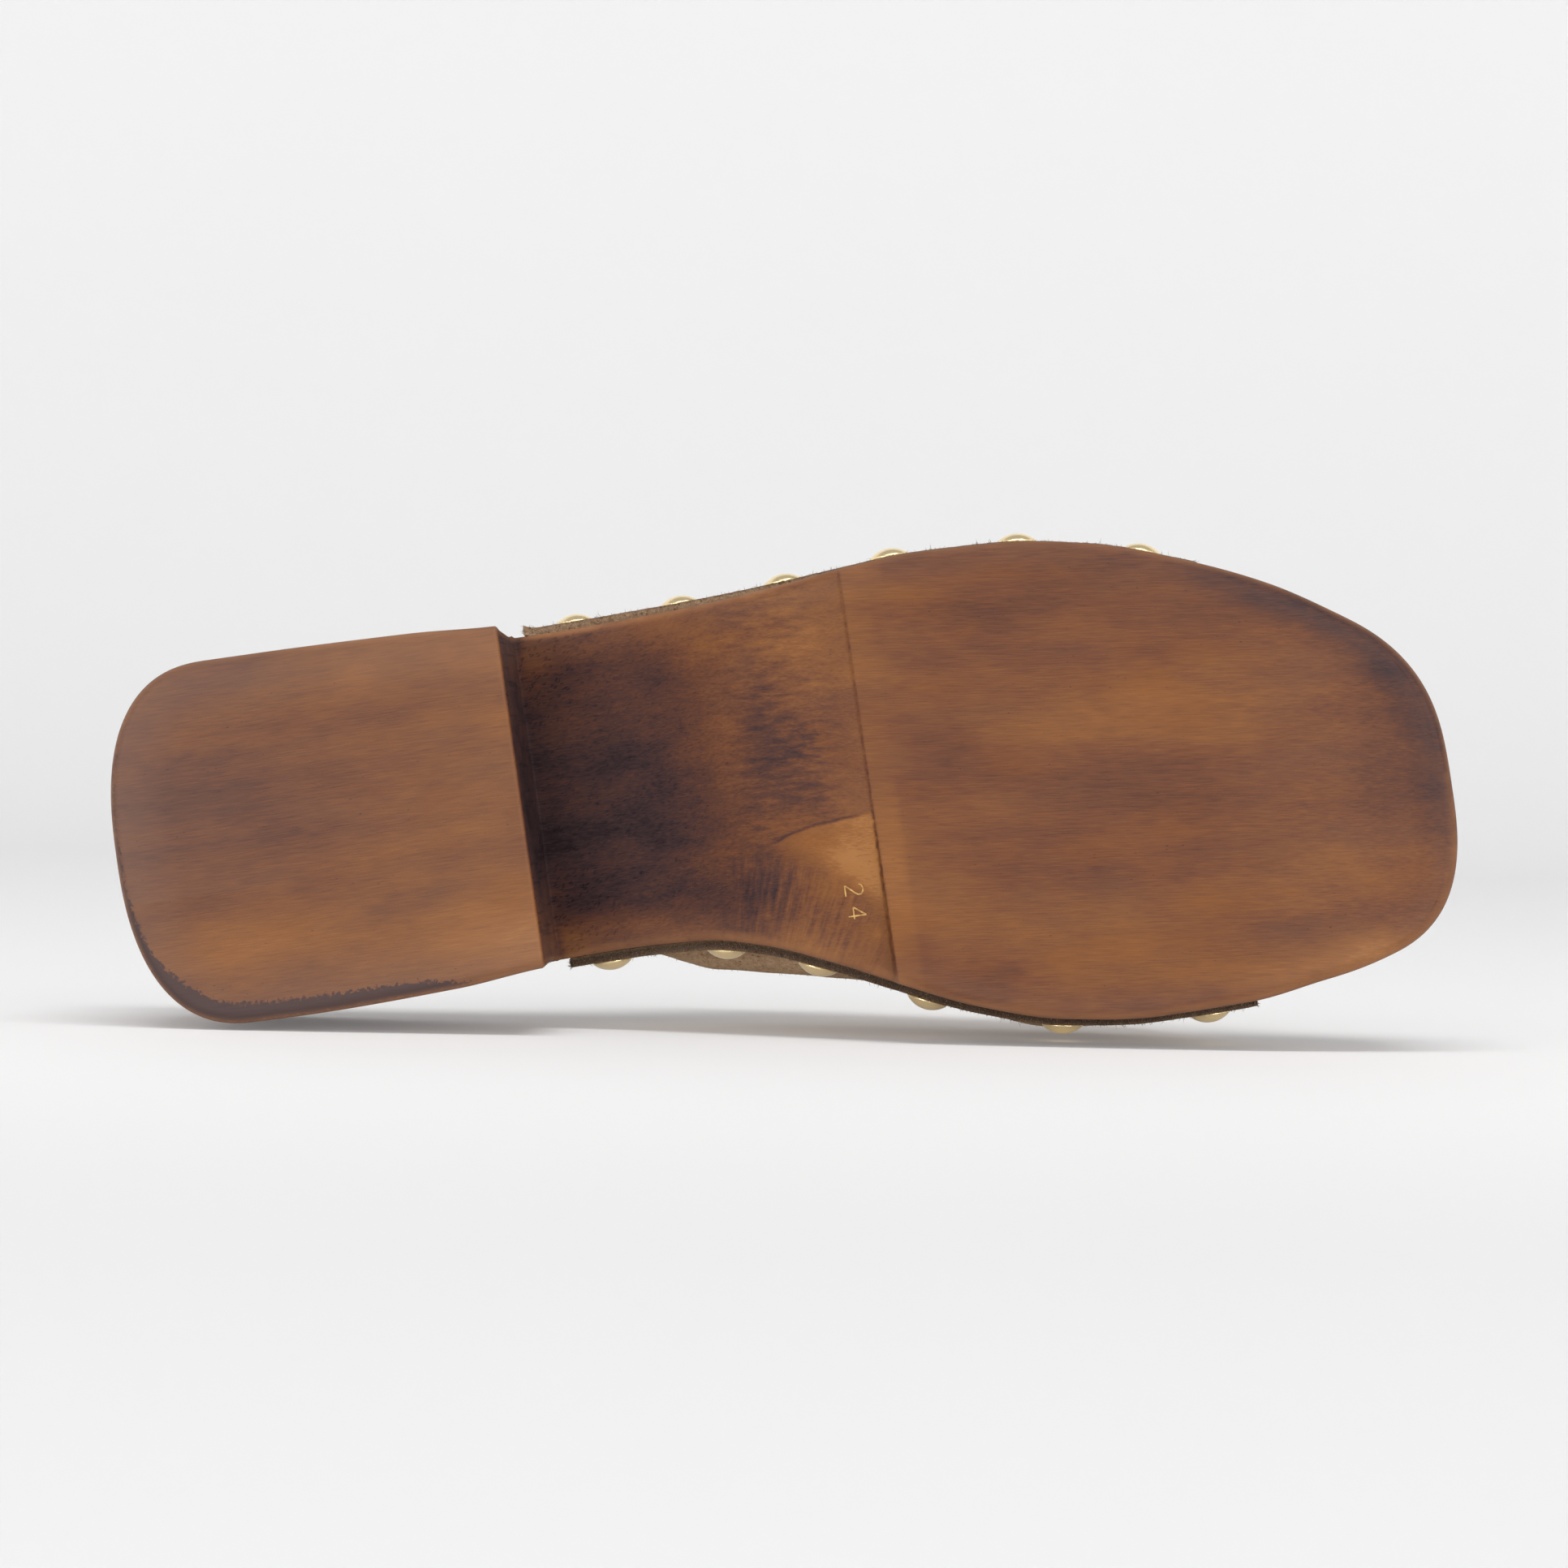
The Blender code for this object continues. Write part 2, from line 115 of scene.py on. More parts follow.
@dataclass(frozen=True)
class Rail:
    """A smooth curve through rows of a table, which never overshoots them."""

    stations: Array
    values: Array

    @classmethod
    def through(cls, rows: Rows, column: int) -> "Rail":
        """Takes one column of a table whose first column is the station."""
        table = np.array(rows, float)
        return cls(table[:, 0], table[:, column])

    def at(self, x: Array | float) -> Array:
        """Height of the curve at stations.

        Args:
            x: Stations, held inside the table.

        Returns:
            The values there.
        """
        xs, ys = self.stations, self.values
        x = np.clip(np.asarray(x, float), xs[0], xs[-1])
        step = np.diff(xs)
        rise = np.diff(ys) / step
        slope = np.empty(len(xs))
        slope[0], slope[-1] = rise[0], rise[-1]
        product, total = rise[:-1] * rise[1:], rise[:-1] + rise[1:]
        same_way = product > 0
        slope[1:-1] = np.where(same_way, 2 * product / np.where(same_way, total, 1), 0)
        k = np.clip(np.searchsorted(xs, x, side="right") - 1, 0, len(step) - 1)
        t = (x - xs[k]) / step[k]
        start = (1 + 2 * t) * (1 - t) ** 2 * ys[k] + t * (1 - t) ** 2 * step[k] * slope[k]
        end = t**2 * (3 - 2 * t) * ys[k + 1] - t**2 * (1 - t) * step[k] * slope[k + 1]
        return start + end


@dataclass(frozen=True)
class ShoeFrame:
    """Places the standing shoe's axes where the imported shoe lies."""

    matrix: Matrix

    HEEL_MOUNT_STATION = 42.0

    @classmethod
    def from_record(cls, record: dict[str, Any]) -> "ShoeFrame":
        """Reads the axes from the two flat ground faces of the record.

        Args:
            record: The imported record.

        Returns:
            The frame.
        """
        mounts = {mount["name"]: mount for mount in record["mounts"]}
        heel = Vector(mounts["heel_ground_face"]["pos_m"])
        tread = Vector(mounts["tread_ground_face"]["pos_m"])
        up = -Vector(mounts["heel_ground_face"]["axis"]).normalized()
        ahead = (tread - heel).normalized()
        ahead = (ahead - up * ahead.dot(up)).normalized()
        inward = up.cross(ahead)
        turn = Matrix((ahead, inward, up)).transposed().to_4x4()
        origin = heel - ahead * cls.HEEL_MOUNT_STATION * MM
        return cls(Matrix.Translation(origin) @ turn)

    def place(self, points: Array) -> Array:
        """Moves points of the standing shoe, in mm, to where it lies, in metres."""
        matrix = np.array(self.matrix)
        return points * MM @ matrix[:3, :3].T + matrix[:3, 3]


class Wiring:
    """Adds nodes to one shader tree and joins them."""

    def __init__(self, tree: bpy.types.NodeTree) -> None:
        """Keeps the tree."""
        self.tree = tree

    def feed(self, node: Node, feeds: dict[Any, Any]) -> Node:
        """Sets inputs of a node, or joins sockets to them.

        Args:
            node: The node.
            feeds: Numbers, colours or sockets, by the input's name or number.

        Returns:
            The node.
        """
        for name, value in feeds.items():
            if isinstance(value, Socket):
                self.tree.links.new(value, node.inputs[name])
            else:
                node.inputs[name].default_value = value
        return node

    def node(self, kind: str, feeds: dict[Any, Any] | None = None, **settings: Any) -> Node:
        """Adds a node.

        Args:
            kind: Blender's name of the node type.
            feeds: What its inputs take, as in feed.
            **settings: Properties of the node.

        Returns:
            The node.
        """
        made = self.tree.nodes.new(kind)
        for name, value in settings.items():
            setattr(made, name, value)
        return self.feed(made, feeds or {})

    def mark(self, name: str) -> Socket:
        """Reads a value that the mesh carries."""
        return self.node("ShaderNodeAttribute", attribute_name=name).outputs["Fac"]

    def place(self, name: str = "own_mm") -> Socket:
        """Reads a place that the mesh carries, in millimetres."""
        return self.node("ShaderNodeAttribute", attribute_name=name).outputs["Vector"]

    def reckon(self, operation: str, *terms: Any, clamp: bool = False) -> Socket:
        """Does arithmetic on numbers or sockets, held between 0 and 1 if asked."""
        feeds = dict(enumerate(terms))
        return self.node("ShaderNodeMath", feeds, operation=operation, use_clamp=clamp).outputs[0]

    def add(self, *terms: Any, clamp: bool = False) -> Socket:
        """Adds terms one after another.

        Args:
            *terms: Numbers or sockets.
            clamp: Holds the total between 0 and 1.

        Returns:
            The total.
        """
        total = terms[0]
        for left, term in zip(range(len(terms) - 2, -1, -1), terms[1:]):
            total = self.reckon("ADD", total, term, clamp=clamp and left == 0)
        return total

    def less(self, first: Any, second: Any, clamp: bool = False) -> Socket:
        """Takes the second from the first."""
        return self.reckon("SUBTRACT", first, second, clamp=clamp)

    def times(self, first: Any, second: Any) -> Socket:
        """Multiplies two values."""
        return self.reckon("MULTIPLY", first, second)

    def vector(self, operation: str, *terms: Any) -> Socket:
        """Does arithmetic on vectors, which gives a vector, a length or a product."""
        made = self.node("ShaderNodeVectorMath", dict(enumerate(terms)), operation=operation)
        return made.outputs["Value" if operation in ("DOT_PRODUCT", "LENGTH") else "Vector"]

    def rise(self, value: Any, low: float, high: float) -> Socket:
        """Rises smoothly from 0 to 1 between two values."""
        feeds = {"Value": value, "From Min": low, "From Max": high}
        return self.node("ShaderNodeMapRange", feeds, interpolation_type="SMOOTHSTEP").outputs[0]

    def stripe(self, off: Socket, core: float, reach: float) -> Socket:
        """Mask of a thin line, full up to its core and gone at its reach."""
        return self.less(1.0, self.rise(self.reckon("ABSOLUTE", off), core, reach))

    def blend(self, share: Any, first: Any, second: Any) -> Socket:
        """Mixes two values by the share of the second."""
        feeds = {0: share, 2: first, 3: second}
        return self.node("ShaderNodeMix", feeds, data_type="FLOAT").outputs[0]

    def tint(self, share: Any, first: Any, second: Any) -> Socket:
        """Mixes two colours by the share of the second."""
        first, second = ((*c, 1) if isinstance(c, tuple) else c for c in (first, second))
        feeds = {0: share, 6: first, 7: second}
        return self.node("ShaderNodeMix", feeds, data_type="RGBA").outputs[2]

    def ramp(self, value: Any, stops: Stops) -> Socket:
        """Looks a value up in a row of colours.

        Args:
            value: The value.
            stops: Places from 0 to 1 with their colours.

        Returns:
            The colour.
        """
        made = self.node("ShaderNodeValToRGB", {"Fac": value})
        elements = made.color_ramp.elements
        while len(elements) < len(stops):
            elements.new(1.0)
        for element, (place, colour) in zip(elements, stops):
            element.position = place
            element.color = (*colour, 1)
        return made.outputs[0]

    def bump(self, height: Socket, depth: float) -> Socket:
        """Turns heights into a normal, with the depth in millimetres."""
        feeds = {"Strength": 1.0, "Distance": depth * MM, "Height": height}
        return self.node("ShaderNodeBump", feeds).outputs[0]

    def use(self, effect: bpy.types.NodeTree, **feeds: Any) -> Socket:
        """Places a shared effect and gives its first output."""
        return self.node("ShaderNodeGroup", feeds, node_tree=effect).outputs[0]


class Effects:
    """Shader node groups that more than one finish uses."""

    def __init__(self) -> None:
        """Makes the groups."""
        self.soft_cloud = self._soft_cloud()
        self.sparse_fleck = self._sparse_fleck()

    @staticmethod
    def _group(name: str, numbers: tuple[str, ...],
               output: str) -> tuple[Wiring, Node, Node, Socket]:
        """Starts a group that draws on a place, drawn out along each axis by a size.

        Args:
            name: The group's name.
            numbers: Names of the numbers that it takes.
            output: Name of the value that it puts out.

        Returns:
            The wiring, its input node, its output node and the scaled place.
        """
        tree = bpy.data.node_groups.new(name, "ShaderNodeTree")
        kinds = {"Place": "NodeSocketVector", "Size": "NodeSocketVector"}
        kinds |= {number: "NodeSocketFloat" for number in numbers}
        for title, kind in kinds.items():
            tree.interface.new_socket(title, in_out="INPUT", socket_type=kind)
        tree.interface.new_socket(output, in_out="OUTPUT", socket_type="NodeSocketFloat")
        wires = Wiring(tree)
        start, end = wires.node("NodeGroupInput"), wires.node("NodeGroupOutput")
        scaled = wires.vector("DIVIDE", start.outputs["Place"], start.outputs["Size"])
        return wires, start, end, scaled

    def _soft_cloud(self) -> bpy.types.NodeTree:
        """Soft uneven tone round 0."""
        wires, start, end, scaled = self._group("soft_cloud", ("Depth",), "Value")
        feeds = {"Vector": scaled, "Scale": 1.0, "Detail": 3.0, "Roughness": 0.55}
        centred = wires.less(wires.node("ShaderNodeTexNoise", feeds).outputs[0], 0.5)
        wires.feed(end, {"Value": wires.times(centred, start.outputs["Depth"])})
        return wires.tree

    def _sparse_fleck(self) -> bpy.types.NodeTree:
        """Small sparse marks, one to a cell, of which a share shows."""
        wires, start, end, scaled = self._group("sparse_fleck", ("Share", "Reach"), "Mask")
        feeds = {"Vector": scaled, "Scale": 1.0, "Randomness": 1.0}
        cell = wires.node("ShaderNodeTexVoronoi", feeds)
        draw = wires.node("ShaderNodeSeparateColor", {"Color": cell.outputs["Color"]}).outputs[0]
        shown = wires.reckon("LESS_THAN", draw, start.outputs["Share"])
        far = wires.reckon("DIVIDE", cell.outputs["Distance"], start.outputs["Reach"])
        near = wires.rise(wires.less(1.0, far), 0.0, 0.5)
        wires.feed(end, {"Mask": wires.times(near, shown)})
        return wires.tree

    def cloud(self, wires: Wiring, place: Socket, sizes: Cloud) -> Socket:
        """Places a soft cloud: its size along three axes in mm, and its depth."""
        *size, depth = sizes
        return wires.use(self.soft_cloud, Place=place, Size=size, Depth=depth)

    def fleck(self, wires: Wiring, place: Socket, sizes: Fleck) -> Socket:
        """Places sparse flecks: cell along three axes in mm, share that shows, and reach."""
        *size, share, reach = sizes
        return wires.use(self.sparse_fleck, Place=place, Size=size, Share=share, Reach=reach)


def new_finish(name: str) -> tuple[Material, Wiring, Node]:
    """Starts a material.

    Args:
        name: The material's name.

    Returns:
        The material, its wiring and its shader.
    """
    material = bpy.data.materials.new(name)
    material.use_nodes = True
    return material, Wiring(material.node_tree), material.node_tree.nodes["Principled BSDF"]


@dataclass(frozen=True)
class StainedWood:
    """Brown stain rubbed into pale wood, darkest where it pooled and rubbed off along the edges,
    with a painted highlight on the rubbed edges, painted shade and a painted grey sheen.
    """

    tones: Stops = (
        (0.00, seen(30, 18, 20)), (0.12, seen(47, 33, 35)), (0.25, seen(67, 43, 38)),
        (0.38, seen(83, 51, 38)), (0.50, seen(98, 60, 40)), (0.62, seen(109, 69, 41)),
        (0.75, seen(121, 77, 43)), (0.88, seen(132, 86, 47)), (1.00, seen(147, 100, 57)),
    )
    smoky: Colour = seen(87, 59, 47)
    amber: Colour = seen(117, 69, 27)
    # Stain rubbed off the edges; this colour also paints their highlight
    rubbed: Colour = seen(144, 98, 64)
    # Grey veil of painted sheen over the wood
    painted_sheen: Colour = seen(117, 112, 110)
    # Clouds: size along the grain, across it and into it, and depth
    bands: Cloud = (70, 6, 8, 0.30)
    streaks: Cloud = (12, 0.7, 1.2, 0.15)
    hairs: Cloud = (4.5, 0.24, 0.4, 0.42)
    blots: Cloud = (13, 7, 7, 0.28)
    feathers: Cloud = (5.5, 1.0, 3.0, 1.1)
    crease_wander: Cloud = (3.0, 3.0, 3.0, 0.7)
    pore_patches: Cloud = (34, 3.5, 6, 3.4)
    pool_edge: Cloud = (0.8, 0.8, 0.8, 3.4)
    score_wander: Cloud = (2, 2.0, 9, 0.7)
    score_breaks: Cloud = (6, 1.6, 6, 3.2)
    drift: Cloud = (26, 11, 11, 1.5)
    rub_patches: Cloud = (12, 6, 6, 1.6)
    stroke_tone: Cloud = (1.0, 9.0, 1.0, 0.8)
    tear_wobble: Cloud = (1.3, 1.3, 1.3, 1.3)
    # Flecks: cell along the grain, across it and into it, share that shows, and reach
    pores: Fleck = (1.5, 0.7, 1.1, 0.22, 0.22)
    tears: Fleck = (1.5, 0.5, 1.0, 0.7, 0.42)
    # Changes of tone
    amber_lift: float = 0.27
    crease_shade_tone: float = 0.2
    pore_tone: float = 0.26
    tear_tone: float = 0.06
    pool_tone: float = 0.15
    pool_share: float = 0.9
    groove_shade_tone: float = 0.22
    groove_shade_share: float = 0.72
    drift_rest: float = 0.04
    # Shine and relief
    satin: float = 0.48
    gloss: float = 0.12
    grain_depth: float = 0.05
    fan_centre: Triple = (101.0, 92.0, 0.0)
    fan_spread: float = 60.0
    tear_slant: float = math.radians(-28)

    def material(self, effects: Effects) -> Material:
        """Builds the finish.

        Args:
            effects: Shared node groups.

        Returns:
            The material.
        """
        made, wires, shader = new_finish("stained_wood_finish")
        place, grain = wires.place(), wires.place("grain_mm")
        add, less, times, mark = wires.add, wires.less, wires.times, wires.mark

        def cloud(sizes: Cloud) -> Socket:
            """Tone drawn out along the grain."""
            return effects.cloud(wires, grain, sizes)

        streaks, hairs = cloud(self.streaks), cloud(self.hairs)
        feathers = times(cloud(self.feathers), mark("feather"))
        tone = add(mark("tone"), cloud(self.bands), streaks, hairs, cloud(self.blots), feathers)

        # The planed triangle glows below the crease, and along the crease itself lies a dark line
        # of painted shade
        crease = add(mark("crease_mm"), cloud(self.crease_wander))
        below = times(wires.rise(crease, -0.1, 0.5), mark("amber"))
        crease_shade = times(wires.stripe(crease, 0.1, 0.55), times(mark("crease_shaded"), self.crease_shade_tone))
        tone = less(add(tone, times(below, self.amber_lift)), crease_shade)

        pores = effects.fleck(wires, grain, self.pores)
        pores = times(pores, add(cloud(self.pore_patches), 0.12, clamp=True))
        strokes = times(self._strokes(wires, effects, place), mark("stroked"))
        chips = times(self._tears(wires, effects, place), mark("torn"))
        tone = less(less(tone, times(pores, self.pore_tone)), strokes)
        tone = less(tone, times(chips, self.tear_tone))

        pooled = wires.rise(add(mark("stain_mm"), cloud(self.pool_edge)), -0.25, 0.35)
        dark = add(times(streaks, 0.6), self.pool_tone)
        tone = wires.blend(times(pooled, self.pool_share), tone, dark)

        # Ball line: a fine groove, with a dark line of painted shade under the ledge there that
        # grows towards the inner side
        line = add(mark("score_mm"), cloud(self.score_wander))
        uneven = add(cloud(self.score_breaks), mark("groove_and_shade"), clamp=True)
        groove_and_shade = times(wires.stripe(line, 0.04, 0.38), uneven)
        tone = wires.blend(times(groove_and_shade, self.groove_shade_share), tone, self.groove_shade_tone)

        colour = wires.ramp(add(tone, 0.0, clamp=True), self.tones)
        drift, lit = cloud(self.drift), wires.rise(tone, 0.25, 0.5)
        smoky = times(add(drift, -self.drift_rest, clamp=True), lit)
        colour = wires.tint(smoky, colour, self.smoky)
        golden = times(less(-self.drift_rest, drift, clamp=True), lit)
        colour = wires.tint(golden, colour, self.amber)
        # Rubbed-off stain along the edges, which also stands for a painted highlight on them
        patchy = add(cloud(self.rub_patches), 0.8, clamp=True)
        colour = wires.tint(times(mark("worn"), patchy), colour, self.rubbed)
        # A grey veil of painted sheen, strongest round the heel's rim
        colour = wires.tint(mark("painted_sheen"), colour, self.painted_sheen)

        dull = (times(mark("torn"), 0.3), times(pores, 0.2))
        height = add(hairs, times(streaks, 0.4))
        for dent, depth in ((pores, 0.5), (chips, 1.3), (strokes, 1.2), (groove_and_shade, 0.8)):
            height = less(height, times(dent, depth))
        wires.feed(shader, {
            "Base Color": colour,
            "Roughness": add(times(streaks, 0.25), self.satin, *dull, clamp=True),
            "Normal": wires.bump(height, self.grain_depth),
            "Specular IOR Level": self.gloss,
        })
        return made

    def _strokes(self, wires: Wiring, effects: Effects, place: Socket) -> Socket:
        """Cutter strokes that fan out from the centre of the inner waist's curve.

        Args:
            wires: The material's wiring.
            effects: Shared node groups.
            place: Where on the shoe, in millimetres.

        Returns:
            A tone that rises along the strokes.
        """
        spoke = wires.vector("SUBTRACT", place, self.fan_centre)
        flat = wires.vector("MULTIPLY", spoke, (1.0, 1.0, 0.0))
        x, y, _ = wires.node("ShaderNodeSeparateXYZ", {0: flat}).outputs
        turn = wires.times(wires.reckon("ARCTAN2", x, wires.times(y, -1.0)), self.fan_spread)
        fan = wires.node("ShaderNodeCombineXYZ", {0: turn, 1: wires.vector("LENGTH", flat)})
        return effects.cloud(wires, fan.outputs[0], self.stroke_tone)

    def _tears(self, wires: Wiring, effects: Effects, place: Socket) -> Socket:
        """Small slanting tears that the cutter left across the grain of the arch.

        Args:
            wires: The material's wiring.
            effects: Shared node groups.
            place: Where on the shoe, in millimetres.

        Returns:
            Their mask.
        """
        run, rise = math.cos(self.tear_slant), math.sin(self.tear_slant)
        wobble = effects.cloud(wires, place, self.tear_wobble)
        along = wires.vector("DOT_PRODUCT", place, (run, rise, 0.0))
        across = wires.vector("DOT_PRODUCT", place, (-rise, run, 0.0))
        turned = wires.node("ShaderNodeCombineXYZ", {0: along, 1: wires.add(across, wobble)})
        return effects.fleck(wires, turned.outputs[0], self.tears)


@dataclass(frozen=True)
class BrownSuede:
    """Taupe suede with a speckled nap and dark raw edges, which carry painted shade on the inner
    side.
    """

    naps: Stops = (
        (0.0, seen(96, 74, 58)), (0.3, seen(147, 116, 90)), (0.55, seen(179, 147, 116)),
        (0.8, seen(204, 174, 143)), (1.0, seen(222, 199, 172)),
    )
    raw: Colour = seen(58, 46, 40)
    sheen: Colour = seen(190, 165, 130)
    broad: Cloud = (9.0, 9.0, 9.0, 0.5)
    tufts: Cloud = (0.9, 0.9, 0.9, 0.9)
    nap: Cloud = (0.24, 0.24, 0.24, 0.9)
    specks: Fleck = (0.9, 0.9, 0.9, 0.4, 0.38)
    middle_tone: float = 0.52
    speck_tone: float = 0.3
    raw_share: float = 0.92
    roughness: float = 0.93
    nap_depth: float = 0.24

    def material(self, effects: Effects) -> Material:
        """Builds the finish.

        Args:
            effects: Shared node groups.

        Returns:
            The material.
        """
        made, wires, shader = new_finish("brown_suede_finish")
        place, add, less, times = wires.place(), wires.add, wires.less, wires.times
        sizes = (self.broad, self.tufts, self.nap)
        broad, tufts, nap = (effects.cloud(wires, place, size) for size in sizes)
        specks = effects.fleck(wires, place, self.specks)
        tone = add(add(broad, tufts), add(nap, self.middle_tone))
        tone = less(tone, times(specks, self.speck_tone), clamp=True)
        # The raw mark darkens the cut edges, and on the inner side it is also painted shade
        frayed = add(wires.mark("raw"), times(tufts, 0.5), clamp=True)
        colour = wires.ramp(tone, self.naps)
        height = add(nap, less(tufts, times(specks, 0.5)))
        wires.feed(shader, {
            "Base Color": wires.tint(times(frayed, self.raw_share), colour, self.raw),
            "Roughness": add(times(nap, 0.1), self.roughness, clamp=True),
            "Normal": wires.bump(height, self.nap_depth),
            "Specular IOR Level": 0.15,
            "Sheen Weight": 0.35,
            "Sheen Roughness": 0.5,
            "Sheen Tint": (*self.sheen, 1),
        })
        return made


@dataclass(frozen=True)
class PolishedBrass:
    """Brass with a handled polish: faint smears, sparse pits and a slightly duller rim, whose
    darkening is tarnish and also a painted dark reflection.
    """

    bright: Colour = (1.0, 0.80, 0.46)
    dull: Colour = (0.46, 0.34, 0.16)
    rim: tuple[float, float] = (2.7, 4.1)
    smears: Cloud = (3.0, 2.2, 2.2, 0.5)
    pits: Fleck = (0.9, 0.9, 0.9, 0.1, 0.16)
    rim_tarnish_and_reflection: float = 0.1
    pit_tarnish: float = 0.35
    roughness: float = 0.22
    metal: float = 0.75
    smear_depth: float = 0.03

    def material(self, effects: Effects) -> Material:
        """Builds the finish.

        Args:
            effects: Shared node groups.

        Returns:
            The material.
        """
        made, wires, shader = new_finish("polished_brass_finish")
        place, add, times = wires.place(), wires.add, wires.times
        smears = effects.cloud(wires, place, self.smears)
        pits = effects.fleck(wires, place, self.pits)
        from_middle = wires.vector("LENGTH", wires.vector("MULTIPLY", place, (1.0, 1.0, 0.0)))
        # Duller rim: tarnish, and also a painted dark reflection at the dome's edge
        rim = times(wires.rise(add(from_middle, smears), *self.rim), self.rim_tarnish_and_reflection)
        tarnish_and_reflection = add(rim, times(pits, self.pit_tarnish), clamp=True)
        rough = add(times(smears, 0.18), self.roughness, times(tarnish_and_reflection, 0.2), clamp=True)
        wires.feed(shader, {
            "Base Color": wires.tint(tarnish_and_reflection, self.bright, self.dull),
            "Roughness": rough,
            "Normal": wires.bump(wires.less(smears, times(pits, 0.6)), self.smear_depth),
            "Metallic": self.metal,
        })
        return made


@dataclass(frozen=True)
class StampedGilt:
    """Thin gilding pressed into the wood, rubbed in places."""

    gilt: Colour = seen(190, 152, 84)
    rubbed: Colour = seen(140, 94, 50)
    wear: Cloud = (0.7, 0.7, 0.7, 3.0)
    wear_share: float = 0.35
    metal: float = 0.25

    def material(self, effects: Effects) -> Material:
        """Builds the finish.

        Args:
            effects: Shared node groups.

        Returns:
            The material.
        """
        made, wires, shader = new_finish("stamped_gilt_finish")
        wear = effects.cloud(wires, wires.place(), self.wear)
        worn = wires.add(wear, self.wear_share, clamp=True)
        wires.feed(shader, {
            "Base Color": wires.tint(worn, self.gilt, self.rubbed),
            "Roughness": wires.add(wires.times(worn, 0.2), 0.4),
            "Metallic": self.metal,
        })
        return made


@dataclass(frozen=True)
class PaleFloor:
    """Matt pale studio paper, darker under the low lamps and aglow further off."""

    paper: Colour = (0.80, 0.80, 0.80)
    shade: Colour = (0.66, 0.66, 0.66)
    under_lamps: Colour = (0.34, 0.34, 0.34)
    near_glow: Colour = (0.10, 0.10, 0.10)
    far_glow: Colour = (0.145, 0.145, 0.145)
    front_glow: Colour = (0.48, 0.48, 0.48)
    wave: Cloud = (700.0, 700.0, 700.0, 0.2)
    # Where each change starts and ends, in mm from the shoe
    front: tuple[float, float] = (60.0, 420.0)
    lamps: tuple[float, float] = (600.0, 1500.0)
    lamps_height: tuple[float, float] = (10.0, 320.0)
    wall: tuple[float, float] = (1300.0, 1750.0)
    glow: tuple[float, float] = (150.0, 1500.0)

    def material(self, effects: Effects) -> Material:
        """Builds the finish.

        Args:
            effects: Shared node groups.

        Returns:
            The material.
        """
        made, wires, shader = new_finish("pale_paper_finish")
        place, rise = wires.place(), wires.rise
        ahead = wires.vector("DOT_PRODUCT", place, (0.0, -1.0, 0.0))
        high = wires.vector("DOT_PRODUCT", place, (0.0, 0.0, 1.0))
        uneven = effects.cloud(wires, place, self.wave)
        front = wires.add(rise(ahead, *self.front), uneven, clamp=True)
        colour = wires.tint(front, self.paper, self.shade)
        low = wires.less(1.0, rise(high, *self.lamps_height))
        near_lamps = wires.times(rise(ahead, *self.lamps), low)
        away = wires.vector("LENGTH", place)
        glow = wires.tint(rise(away, *self.glow), self.near_glow, self.far_glow)
        beyond = rise(wires.add(ahead, high), *self.wall)
        wires.feed(shader, {
            "Base Color": wires.tint(near_lamps, colour, self.under_lamps),
            "Roughness": 0.9,
            "Specular IOR Level": 0.1,
            "Emission Color": wires.tint(beyond, glow, self.front_glow),
            "Emission Strength": 1.0,
        })
        made.cycles.emission_sampling = "NONE"
        return made


def face_quads(numbers: Array) -> Array:
    """Faces of a grid of vertex numbers, turned up."""
    a, b, c, d = numbers[:-1, :-1], numbers[1:, :-1], numbers[1:, 1:], numbers[:-1, 1:]
    return np.stack([a, b, c, d], axis=-1).reshape(-1, 4)


def joined(first: Array, second: Array) -> Array:
    """Faces between two closed rings of vertex numbers."""
    return np.stack([first, second, np.roll(second, -1), np.roll(first, -1)], axis=1)


def turned(profile: list[tuple[float, float]], turns: int) -> tuple[Array, list[list[int]]]:
    """Turns a profile round the z axis.

    Args:
        profile: Radius and height, from the middle outwards; it may end in a point.
        turns: Corners of each ring.

    Returns:
        The points and the faces.
    """
    pointed = profile[-1][0] == 0
    angle = 2 * math.pi * np.arange(turns) / turns
    rings = [np.column_stack([r * np.cos(angle), r * np.sin(angle), np.full(turns, z)])
             for r, z in (profile[1:-1] if pointed else profile[1:])]
    tip = [[[0, 0, profile[-1][1]]]] if pointed else []
    points = np.concatenate([[[0, 0, profile[0][1]]], *rings, *tip])
    numbers = [1 + k * turns + np.arange(turns) for k in range(len(rings))]
    first, last = numbers[0].tolist(), numbers[-1].tolist()
    faces = [[0, a, b] for a, b in zip(first, first[1:] + first[:1])]
    for low, high in zip(numbers, numbers[1:]):
        faces += joined(low, high).tolist()
    if pointed:
        faces += [[a, len(points) - 1, b] for a, b in zip(last, last[1:] + last[:1])]
    return points, faces


def new_piece(name: str, points: Array, faces: list[list[int]], finish: Material,
              marks: dict[str, Array]) -> Piece:
    """Makes a smooth mesh object.

    Args:
        name: The piece's name.
        points: Vertices in metres, in the model's frame.
        faces: Corner numbers of each face.
        finish: The material.
        marks: Values or vectors at the vertices that the finish reads.

    Returns:
        The object.
    """
    data = bpy.data.meshes.new(name)
    data.from_pydata(points.tolist(), [], faces)
    data.shade_smooth()
    data.materials.append(finish)
    for title, values in marks.items():
        flat = np.asarray(values, np.float32)
        kind, field = ("FLOAT_VECTOR", "vector") if flat.ndim == 2 else ("FLOAT", "value")
        data.attributes.new(title, kind, "POINT").data.foreach_set(field, flat.ravel())
    made = bpy.data.objects.new(name, data)
    bpy.context.scene.collection.objects.link(made)
    return made


